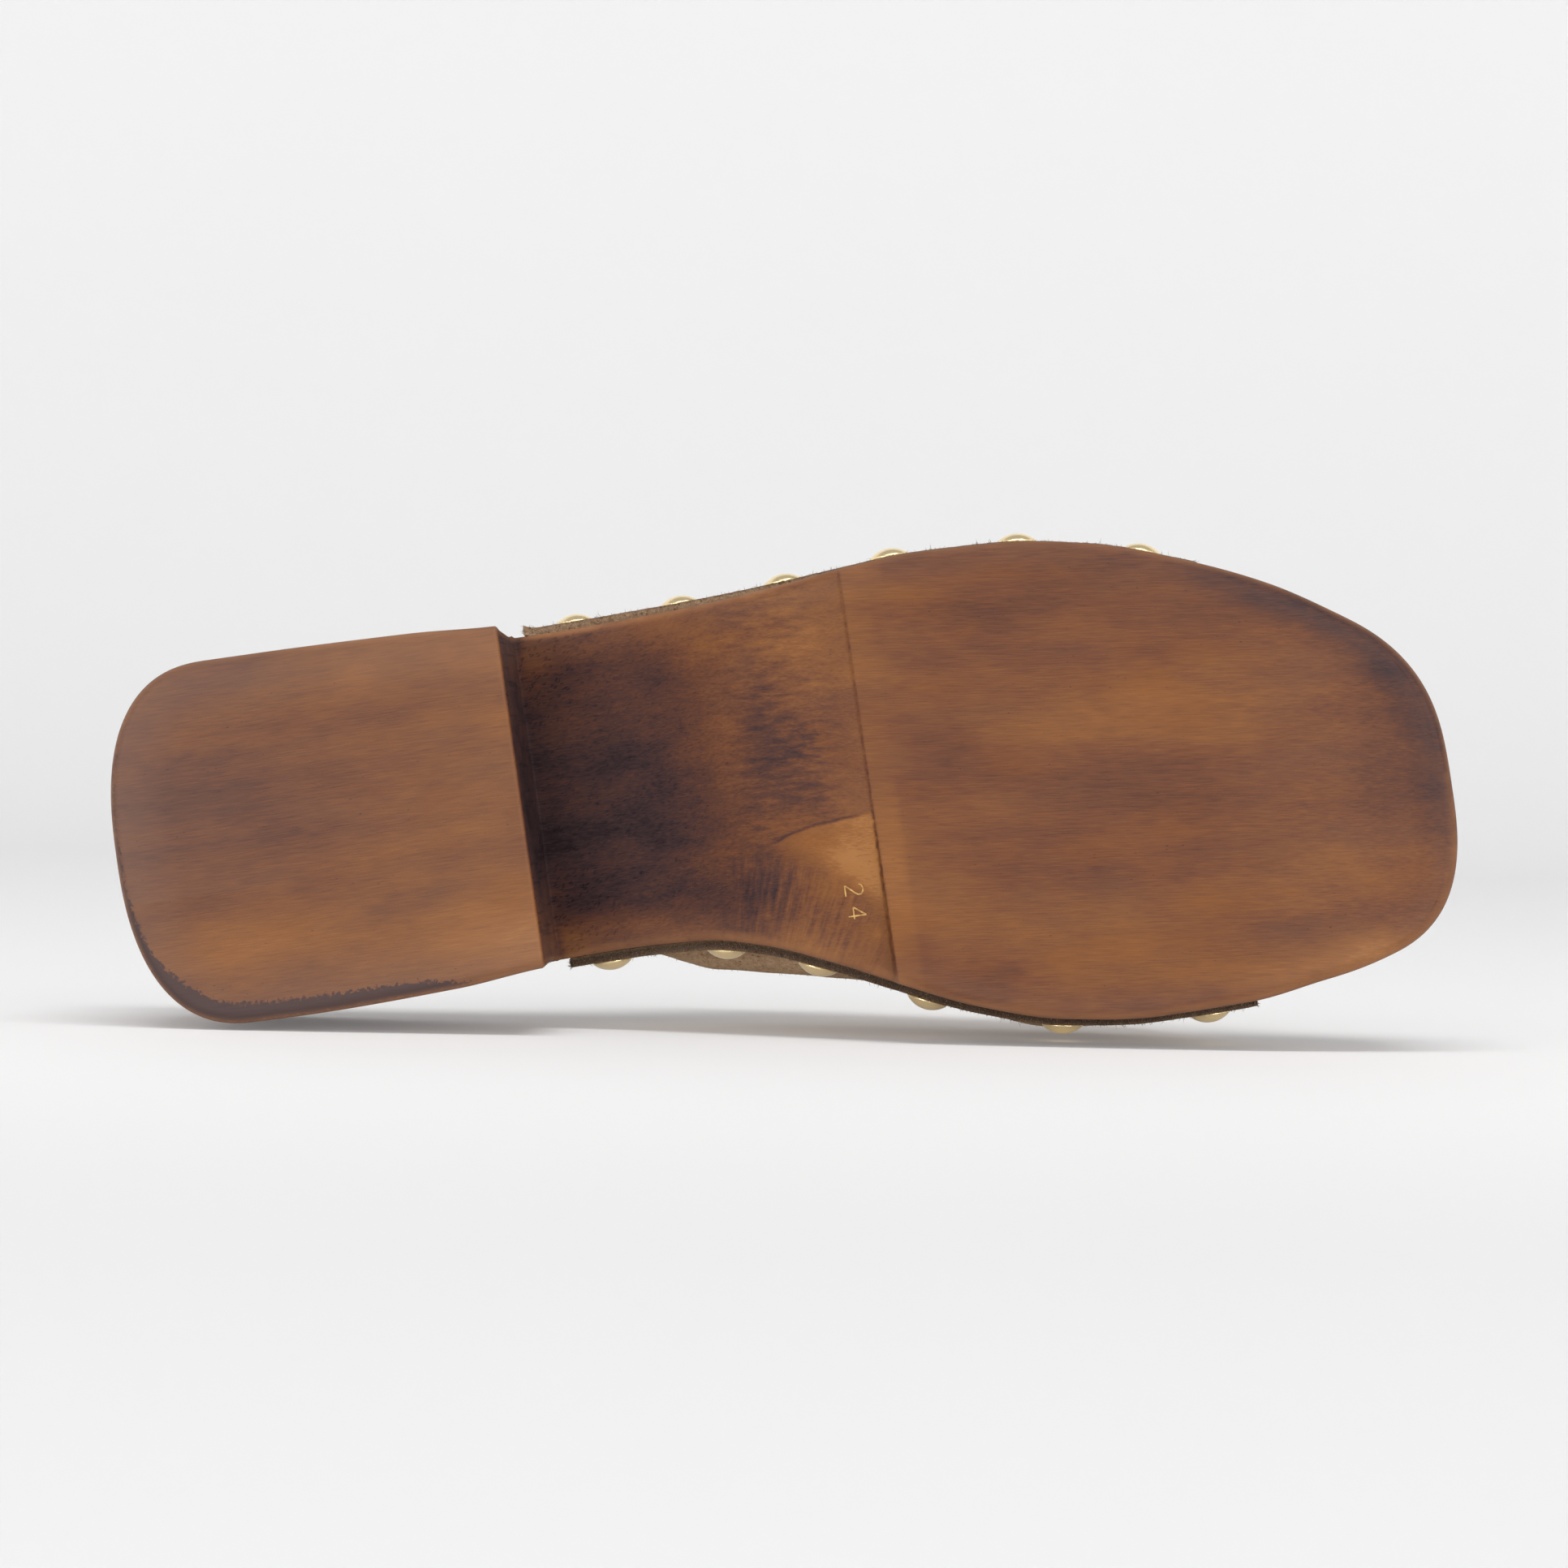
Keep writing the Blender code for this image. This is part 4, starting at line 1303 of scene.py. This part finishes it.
@dataclass
class SuedeVamp:
    """The upper: one hollow wall of suede over the foot, open at the toe and behind."""

    shoe: ShoeFrame
    sole: WoodenSole
    thickness: float = 1.8
    gap: float = 0.3
    back: float = 80.0
    front: float = 209.5
    topline_run: float = 42.0
    topline_power: float = 2.2
    toe_edge_cut: float = 13.0
    outer_power: float = 2.3
    inner_power: float = 3.2
    over_foot_ease: float = 1.4
    steps: int = 150
    margin_steps: int = 12
    arch_steps: int = 96
    edge_layers: int = 3
    fray: float = 0.24
    curl: float = 0.7
    curl_steps: int = 3
    # Share of the raw edges' darkening kept on the outer side; the inner side's full darkening is
    # painted shade
    outer_edge_darkening: float = 0.45
    edge_bulge: float = 0.22
    seed: int = 7
    # Station, height, crest, margin, swell on the outer and the inner side, height of the swell
    sections: Rows = (
        (80, 63.0, 3.0, 12.5, 0.5, 0.0, 15), (96, 62.0, 4.2, 12.5, 0.5, 0.3, 15),
        (102, 61.5, 4.7, 12.5, 0.5, 2.7, 15), (109, 60.5, 5.5, 12.3, 0.5, 4.8, 15),
        (117, 58.0, 7.0, 12.0, 0.5, 4.6, 15), (129, 53.5, 9.5, 11.3, 0.5, 2.7, 15),
        (143, 48.5, 13.0, 10.0, 0.5, 0.0, 17), (156, 45.0, 17.0, 9.5, 0.5, 0.4, 21),
        (172, 41.5, 21.0, 9.5, 0.5, 2.6, 23), (190, 36.0, 24.0, 10.5, 0.4, 1.6, 20),
        (209.5, 31.0, 26.0, 12.5, 0.3, 0.8, 16),
    )
    # Soft creases over the ball of the foot: station, slant, half width, depth
    creases: Rows = ((158, -6, 4.5, 0.5), (171, -4, 5.0, 0.7), (184, -2, 4.5, 0.45))

    def __post_init__(self) -> None:
        """Draws the curves."""
        names = ("height", "crest", "margin", "outer_swell", "inner_swell", "fullest")
        self.rails = {name: Rail.through(self.sections, k) for k, name in enumerate(names, start=1)}

    def _lines(self) -> list[tuple[Side, float, float]]:
        """Lines over the foot: side, share of the margin still to climb, turn over the foot."""
        climb = np.linspace(1, 0, self.margin_steps + 1)[:-1]
        over = [(Side.OUTER if t < 0.5 else Side.INNER, 0.0, t)
                for t in np.linspace(0, 1, self.arch_steps + 1)]
        margin = [(Side.OUTER, float(c), 0.0) for c in climb]
        return margin + over + [(Side.INNER, float(c), 1.0) for c in climb[::-1]]

    def _over_foot(self, side: Side, turn: float) -> tuple[float, float]:
        """How far out and how far up a line runs.

        Args:
            side: Side of the foot.
            turn: Turn over the foot from 0 to 1.

        Returns:
            Shares of the section's half width and height.
        """
        power = self.inner_power if side is Side.INNER else self.outer_power
        angle = math.pi / 2 * (1 - abs(1 - 2 * turn)) ** self.over_foot_ease
        return abs(math.cos(angle)) ** (2 / power), abs(math.sin(angle)) ** (2 / power)

    def inner_face(self) -> Array:
        """Points of the inner face by line and step."""
        return np.stack([self._line(*line) for line in self._lines()])

    def _line(self, side: Side, climb: float, turn: float) -> Array:
        """Points along one line.

        Args:
            side: Side of the foot.
            climb: Share of the nailed margin still to climb.
            turn: Turn over the foot.

        Returns:
            Rows of x, y, z.
        """
        out, up = (1.0, 0.0) if climb > 0 else self._over_foot(side, turn)
        start = self.back + self.topline_run * (1 - (1 - up) ** self.topline_power)
        end = self.front - self.toe_edge_cut * math.sin(up * math.pi / 2) ** 2
        x = np.linspace(start, end, self.steps + 1)
        edge = self.sole.bed_edge.at(x)
        away = side.sign * self.gap
        if climb > 0:
            z = edge - self.rails["margin"].at(x) * climb
            return np.column_stack([x, self.sole.wall(x, z, side) + away, z])
        foot = self.sole.wall(x, edge, side) + away
        crest, height = self.rails["crest"].at(x), self.rails["height"].at(x)
        fullest = self.rails["fullest"].at(x) / height
        swell = np.sin(math.pi * np.power(up, math.log(0.5) / np.log(fullest))) ** 2
        swell = swell * self.rails[side.value + "_swell"].at(x) * side.sign
        z = edge + height * up
        trough = sum(depth * np.exp(-(((x - station - slant * (1 - 2 * turn)) / half) ** 2))
                     for station, slant, half, depth in self.creases)
        z = z - trough * up**3
        return np.column_stack([x, crest + (foot - crest) * out + swell, z])

    @staticmethod
    def normals(grid: Array) -> Array:
        """Unit normals of a grid, turned away from the foot."""
        along, across = np.gradient(grid, axis=1), np.gradient(grid, axis=0)
        normal = np.cross(along, across)
        return normal / np.linalg.norm(normal, axis=2)[:, :, None]

    def faces_of(self) -> tuple[Array, Array, Array]:
        """Inner face, outer face and normals of the wall, by line and step."""
        inner = self.inner_face()
        normal = self.normals(inner)
        rng = np.random.default_rng(self.seed)
        frayed = inner.copy()
        for edge, inside in ((0, 1), (-1, -2)):
            down = inner[edge] - inner[inside]
            down /= np.linalg.norm(down, axis=1)[:, None]
            frayed[edge] += down * rng.normal(0, self.fray, len(down))[:, None]
            back = inner[:, edge] - inner[:, inside]
            back /= np.linalg.norm(back, axis=1)[:, None]
            frayed[:, edge] += back * rng.normal(0, self.fray * 0.5, len(back))[:, None]
        near_end = np.clip(1 - np.arange(self.steps + 1) / self.curl_steps, 0, 1)
        lift = self.curl * near_end**1.5
        frayed[: self.margin_steps] += normal[: self.margin_steps] * lift[None, :, None]
        return frayed, frayed + normal * self.thickness, normal

    def build(self, finish: Material) -> Piece:
        """Makes the vamp.

        Args:
            finish: Its material.

        Returns:
            The piece.
        """
        inner, outer, _ = self.faces_of()
        count = inner[:, :, 0].size
        numbers = np.arange(count).reshape(inner.shape[:2])
        rim = np.concatenate([numbers[0, :-1], numbers[:-1, -1],
                              numbers[-1, :0:-1], numbers[:0:-1, 0]])
        inward = self.inward((inner + outer) / 2).reshape(-1, 3)
        inner, outer = inner.reshape(-1, 3), outer.reshape(-1, 3)
        layers, ends = [], [rim]
        for k, share in enumerate(np.linspace(0, 1, self.edge_layers + 1)[1:-1]):
            bulge = -self.edge_bulge * math.sin(math.pi * share)
            layers.append((inner + (outer - inner) * share + inward * bulge)[rim])
            ends.append(2 * count + k * len(rim) + np.arange(len(rim)))
        ends.append(rim + count)
        own = np.concatenate([inner, outer, *layers])
        quads = face_quads(numbers)
        faces = [quads, quads[:, ::-1] + count]
        faces += [joined(low, high) for low, high in zip(ends, ends[1:])]
        raw = np.zeros(len(own))
        raw[rim], raw[rim + count], raw[2 * count:] = 0.7, 0.7, 1.0
        # Raw edges darken fully on the inner side and by this share on the outer side: painted
        # shade on the inner edges, over their own dark colour
        raw *= self.outer_edge_darkening + (1 - self.outer_edge_darkening) * smooth(-15, 25, own[:, 1])
        piece = new_piece("vamp", self.shoe.place(own), np.concatenate(faces).tolist(), finish,
                          {"own_mm": own, "raw": raw})
        return take(piece, Slot.SUEDE, "suede_vamp")

    @staticmethod
    def inward(grid: Array) -> Array:
        """Unit vectors at the border of a grid that point into the sheet.

        Args:
            grid: Points by line and step.

        Returns:
            Vectors by line and step, zero inside.
        """
        found = np.zeros_like(grid)
        found[0] += grid[1] - grid[0]
        found[-1] += grid[-2] - grid[-1]
        found[:, 0] += grid[:, 1] - grid[:, 0]
        found[:, -1] += grid[:, -2] - grid[:, -1]
        length = np.linalg.norm(found, axis=2)[:, :, None]
        return found / np.where(length > 0, length, 1)


@dataclass
class SuedeFibres:
    """Loose fibres along the raw edges of the vamp, and the nap on its wall."""

    vamp: SuedeVamp
    margin_fibres: int = 4200
    opening_fibres: int = 1800
    nap_fibres: int = 5200
    edge_length: float = 0.62
    nap_length: float = 0.4
    width: float = 0.05
    soil: float = 0.25
    floor_clearance: float = 0.15
    seed: int = 11

    def _roots(self, rng: np.random.Generator) -> tuple[Array, Array, Array]:
        """Where the fibres grow, which way and how long.

        Args:
            rng: Source of chance.

        Returns:
            Roots, directions and lengths.
        """
        inner, outer, normal = self.vamp.faces_of()
        lines, steps = inner.shape[:2]
        inward = self.vamp.inward((inner + outer) / 2)
        roots, ways, lengths = [], [], []

        def grow(line: Array, step: Array, depth: Array, way: Array, length: float) -> None:
            """Adds fibres at places of the wall."""
            low = np.clip(np.floor(step).astype(int), 0, steps - 2)
            part = (step - low)[:, None]
            near = inner[line, low] * (1 - part) + inner[line, low + 1] * part
            far = outer[line, low] * (1 - part) + outer[line, low + 1] * part
            roots.append(near + (far - near) * depth[:, None])
            ways.append(way)
            lengths.append(length * rng.lognormal(0, 0.4, len(line)))

        for count, is_margin in ((self.margin_fibres, True), (self.opening_fibres, False)):
            if is_margin:
                line = rng.choice([0, lines - 1], count)
                step = rng.uniform(0, steps - 1.001, count)
            else:
                line = rng.integers(0, lines, count)
                step = rng.choice([0.0, steps - 1.001], count)
            whole = np.clip(np.round(step).astype(int), 0, steps - 1)
            way = -inward[line, whole] + rng.normal(0, 0.55, (count, 3))
            way = way + normal[line, whole] * rng.uniform(-0.3, 0.9, count)[:, None]
            grow(line, step, rng.uniform(0.1, 1.0, count), way, self.edge_length)
        line = rng.integers(0, lines, self.nap_fibres)
        step = rng.uniform(0, steps - 1.001, self.nap_fibres)
        whole = np.round(step).astype(int)
        way = normal[line, whole] * 0.55 + rng.normal(0, 0.6, (self.nap_fibres, 3))
        grow(line, step, np.full(self.nap_fibres, 0.98), way, self.nap_length)
        way = np.concatenate(ways)
        way /= np.linalg.norm(way, axis=1)[:, None]
        return np.concatenate(roots), way, np.concatenate(lengths)

    def build(self, finish: Material) -> Piece:
        """Makes the fibres.

        Args:
            finish: Their material.

        Returns:
            The piece.
        """
        rng = np.random.default_rng(self.seed)
        roots, ways, lengths = self._roots(rng)
        tips = self.vamp.shoe.place(roots + ways * lengths[:, None])
        above = tips[:, 2] > self.floor_clearance * MM
        roots, ways, lengths = roots[above], ways[above], lengths[above]
        count = len(roots)
        aside = np.cross(ways, rng.normal(0, 1, (count, 3)))
        aside /= np.linalg.norm(aside, axis=1)[:, None]
        other = np.cross(ways, aside)
        curl = aside * (lengths * rng.normal(0, 0.16, count))[:, None]
        tip = roots + ways * lengths[:, None] + curl
        middle = roots + ways * (lengths * 0.5)[:, None] - curl * 0.6
        corners = []
        for centre, radius in ((roots, self.width), (middle, self.width * 0.75)):
            for turn in (0, 2 * math.pi / 3, 4 * math.pi / 3):
                corners.append(centre + (aside * math.cos(turn) + other * math.sin(turn)) * radius)
        own = np.stack([*corners, tip], axis=1).reshape(-1, 3)
        shapes = ([0, 2, 1], [0, 1, 4, 3], [1, 2, 5, 4], [2, 0, 3, 5],
                  [3, 4, 6], [4, 5, 6], [5, 3, 6])
        each = len(corners) + 1
        faces = [[each * k + corner for corner in shape] for k in range(count) for shape in shapes]
        piece = new_piece("vamp_fibres", self.vamp.shoe.place(own), faces, finish,
                          {"own_mm": own, "raw": np.full(len(own), self.soil)})
        return take(piece, Slot.SUEDE)


@dataclass
class DomeNails:
    """Brass dome nails along both margins of the vamp."""

    vamp: SuedeVamp
    # Stations on the outer and the inner side
    stations: Rows = (
        (90, 88), (111, 111), (131.5, 128.5), (152.5, 148.5), (177, 173), (200, 201),
    )
    share_of_margin: float = 0.53
    radius: float = 3.9
    height: float = 1.7
    lip: float = 0.08
    skirt: float = 0.32
    skirt_wall: tuple[float, float] = (0.35, 0.6)
    shank_radius: float = 0.9
    shank_length: float = 9.0
    shank_tip: float = 1.2
    turns: int = 56
    dome_steps: int = 16

    def _place(self, x: float, side: Side) -> Matrix:
        """Where a nail sits: its head on the suede and its shank square into the wood.

        Args:
            x: Station.
            side: Side of the foot.

        Returns:
            The nail's matrix, in millimetres of the standing shoe.
        """
        sole = self.vamp.sole
        z = float(sole.bed_edge.at(x) - self.share_of_margin * self.vamp.rails["margin"].at(x))
        before, after = (Vector((x + d, float(sole.wall(x + d, z, side)), z)) for d in (-1, 1))
        flat = (after - before).cross(Vector((0, 0, 1))).normalized()
        out = flat if flat.y * side.sign > 0 else -flat
        lean = Vector((0, 0, math.sin(sole.side_draft)))
        out = (out * math.cos(sole.side_draft) + lean).normalized()
        wood = Vector((x, float(sole.wall(x, z, side)), z))
        seat = wood + out * (2 * self.vamp.gap + self.vamp.thickness)
        return Matrix.Translation(seat) @ out.to_track_quat("Z", "X").to_matrix().to_4x4()

    def _profile(self) -> list[tuple[float, float]]:
        """Radius and height of the turned shape, from the dome's top to the shank's point."""
        rise = self.height - self.lip
        ball = (self.radius**2 + rise**2) / (2 * rise)
        angles = np.linspace(0, math.asin(self.radius / ball), self.dome_steps + 1)
        dome = [(ball * math.sin(a), self.height - ball * (1 - math.cos(a))) for a in angles]
        foot, root = (self.radius - wall for wall in self.skirt_wall)
        under = [(self.radius, -self.skirt), (foot, -self.skirt), (root, 0.0)]
        shank = [(self.shank_radius, 0.0), (self.shank_radius, self.shank_tip - self.shank_length)]
        return dome + under + shank + [(0.0, -self.shank_length)]

    def build(self, finish: Material) -> list[Piece]:
        """Makes the nails.

        Args:
            finish: Their material.

        Returns:
            The pieces.
        """
        own, faces = turned(self._profile(), self.turns)
        pieces = []
        for column, side in enumerate(Side):
            for number, row in enumerate(self.stations, start=1):
                matrix = np.array(self._place(float(row[column]), side))
                points = self.vamp.shoe.place(own @ matrix[:3, :3].T + matrix[:3, 3])
                name = f"{side.value}_{number}"
                piece = new_piece(f"dome_nail_{name}", points, faces, finish, {"own_mm": own})
                pieces.append(take(piece, Slot.BRASS, f"nail_{name}"))
        return pieces


@dataclass
class SizeStamp:
    """A plain size number pressed into the arch beside the ball line."""

    sole: WoodenSole
    # Each figure: station, side place and the corners of its stroke
    figures: tuple[tuple[float, float, Rows], ...] = (
        (136.2, 26.1, ((-1.2, 1.2), (-1.0, 1.75), (-0.3, 2.05), (0.45, 2.0), (1.05, 1.55),
                       (1.1, 0.85), (0.6, 0.1), (-0.3, -0.85), (-1.25, -2.0), (1.3, -2.0))),
        (136.2, 30.4, ((0.7, -2.05), (0.7, 2.05), (-1.4, -0.75), (1.4, -0.75))),
    )
    scale: float = 0.82
    half_width: float = 0.16
    proud: float = 0.045
    step: float = 0.12
    # Section of a stroke: shares of its half width and of how proud it stands
    section: Rows = ((-1, -0.06), (-0.6, 0.8), (0, 1), (0.6, 0.8), (1, -0.06))

    def build(self, finish: Material) -> Piece:
        """Makes the figures.

        Args:
            finish: Their material.

        Returns:
            The piece.
        """
        points, faces = [], []
        for station, across, corners in self.figures:
            line = self._even(np.array(corners, float) * self.scale)
            run = np.gradient(line, axis=0)
            run /= np.linalg.norm(run, axis=1)[:, None]
            aside = np.stack([-run[:, 1], run[:, 0]], axis=1)
            start = sum(len(p) for p in points)
            strips = []
            for share, lift in self.section:
                flat = line + aside * share * self.half_width
                x, y = station + flat[:, 1], across + flat[:, 0]
                z = self.sole.underside(x, y) - self.proud * lift
                strips.append(np.column_stack([x, y, z]))
            points.append(np.concatenate(strips))
            count = len(line)
            firsts = [start + strip * count for strip in range(len(strips))]
            for a, b in zip(firsts, firsts[1:] + firsts[:1]):
                faces += [[a + k, a + k + 1, b + k + 1, b + k] for k in range(count - 1)]
            faces += [firsts, [first + count - 1 for first in firsts[::-1]]]
        own = np.concatenate(points)
        piece = new_piece("size_stamp", self.sole.shoe.place(own), faces, finish, {"own_mm": own})
        return take(piece, Slot.BRASS)

    def _even(self, corners: Array) -> Array:
        """Evenly spaced points along a stroke.

        Args:
            corners: The stroke's corners.

        Returns:
            The points.
        """
        runs = np.linalg.norm(np.diff(corners, axis=0), axis=1)
        reach = np.concatenate([[0], np.cumsum(runs)])
        at = np.linspace(0, reach[-1], int(reach[-1] / self.step) + 2)
        return np.stack([np.interp(at, reach, corners[:, k]) for k in range(2)], axis=1)


@dataclass(frozen=True)
class Lamp:
    """A soft lamp: where it hangs and points in metres, the size of its face and its watts."""

    name: str
    place: Triple
    aim: Triple
    size: tuple[float, float]
    watts: float

    def hang(self) -> None:
        """Puts the lamp into the scene."""
        data = bpy.data.lights.new(self.name, "AREA")
        data.shape, data.energy = "RECTANGLE", self.watts
        data.size, data.size_y = self.size
        lamp = bpy.data.objects.new(self.name, data)
        lamp.location = self.place
        lamp.rotation_mode = "QUATERNION"
        lamp.rotation_quaternion = (Vector(self.aim) - Vector(self.place)).to_track_quat("-Z", "Y")
        bpy.context.scene.collection.objects.link(lamp)


@dataclass
class Studio:
    """Pale paper all round, soft lamps and the camera."""

    shoe: ShoeFrame
    floor_radius: float = 1.7
    cove_radius: float = 0.7
    cove_steps: int = 12
    wall_height: float = 2.4
    turns: int = 96
    air: float = 0.2
    lamps: tuple[Lamp, ...] = (
        Lamp("overhead_lamp", (0.1, -0.70, 2.1), (0.0, 0.1, 0.0), (1.7, 0.7), 25.5),
        Lamp("low_lamp_1", (-0.85, -1.5, 0.17), (0.0, 0.0, 0.03), (1.0, 0.26), 9.9),
        Lamp("low_lamp_2", (0.85, -1.5, 0.17), (0.0, 0.0, 0.03), (1.0, 0.26), 9.9),
    )
    distance: float = 0.75
    pixels_per_mm: float = 6.581
    axis_in_picture: float = 8.1
    aim: Triple = (126.0, 4.6, 0.0)
    sensor: float = 36.0
    clip: tuple[float, float] = (0.01, 20.0)

    def room(self, finish: Material) -> Piece:
        """Makes the floor, which curves up into a wall all round.

        Args:
            finish: Its material.

        Returns:
            The room.
        """
        profile = [(self.floor_radius * share, 0.0) for share in (0.0, 0.25, 0.5, 0.75)]
        for angle in np.linspace(0, math.pi / 2, self.cove_steps + 1):
            out, up = math.sin(angle), 1 - math.cos(angle)
            profile.append((self.floor_radius + self.cove_radius * out, self.cove_radius * up))
        profile.append((self.floor_radius + self.cove_radius, self.wall_height))
        points, faces = turned(profile, self.turns)
        room = new_piece("pale_room", points, faces, finish, {"own_mm": points / MM})
        return room

    def light(self) -> None:
        """Hangs the lamps and sets the light all round."""
        scene = bpy.context.scene
        scene.view_settings.view_transform = "Standard"
        scene.world = bpy.data.worlds.new("studio_air")
        scene.world.use_nodes = True
        tree = scene.world.node_tree
        feeds = {"Color": (1.0, 1.0, 1.0, 1), "Strength": self.air}
        Wiring(tree).feed(tree.nodes["Background"], feeds)
        for lamp in self.lamps:
            lamp.hang()

    def camera(self) -> None:
        """Sets the camera square to the sole, rolled as in the picture."""
        matrix = self.shoe.matrix
        aim = matrix @ (Vector(self.aim) * MM)
        ahead = matrix.col[0].to_3d()
        roll = math.radians(self.axis_in_picture) - math.atan2(ahead.z, ahead.x)
        right, up, forward = Vector((1, 0, 0)), Vector((0, 0, 1)), Vector((0, 1, 0))
        across = right * math.cos(roll) - up * math.sin(roll)
        upward = up * math.cos(roll) + right * math.sin(roll)
        eye = aim - forward * self.distance
        data = bpy.data.cameras.new("camera")
        data.sensor_width = self.sensor
        data.lens = self.pixels_per_mm / MM * self.distance * self.sensor / IMAGE_PIXELS
        data.clip_start, data.clip_end = self.clip
        camera = bpy.data.objects.new("camera", data)
        turn = Matrix((across, upward, -forward)).transposed().to_4x4()
        camera.matrix_world = Matrix.Translation(eye) @ turn
        bpy.context.scene.collection.objects.link(camera)
        bpy.context.scene.camera = camera


def main() -> None:
    """Builds and dresses the shoe, then sets the studio round it."""
    logging.basicConfig(level=logging.INFO, format="%(message)s")
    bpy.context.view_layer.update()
    effects = Effects()
    shoe = ShoeFrame.from_record(frame["record"])
    suede = BrownSuede().material(effects)
    sole = WoodenSole(shoe)
    sole.build(StainedWood().material(effects))
    vamp = SuedeVamp(shoe, sole)
    vamp.build(suede)
    SuedeFibres(vamp).build(suede)
    DomeNails(vamp).build(PolishedBrass().material(effects))
    SizeStamp(sole).build(StampedGilt().material(effects))
    studio = Studio(shoe)
    studio.room(PaleFloor().material(effects))
    studio.light()
    studio.camera()
    bpy.context.view_layer.update()


if __name__ == "__main__":
    main()
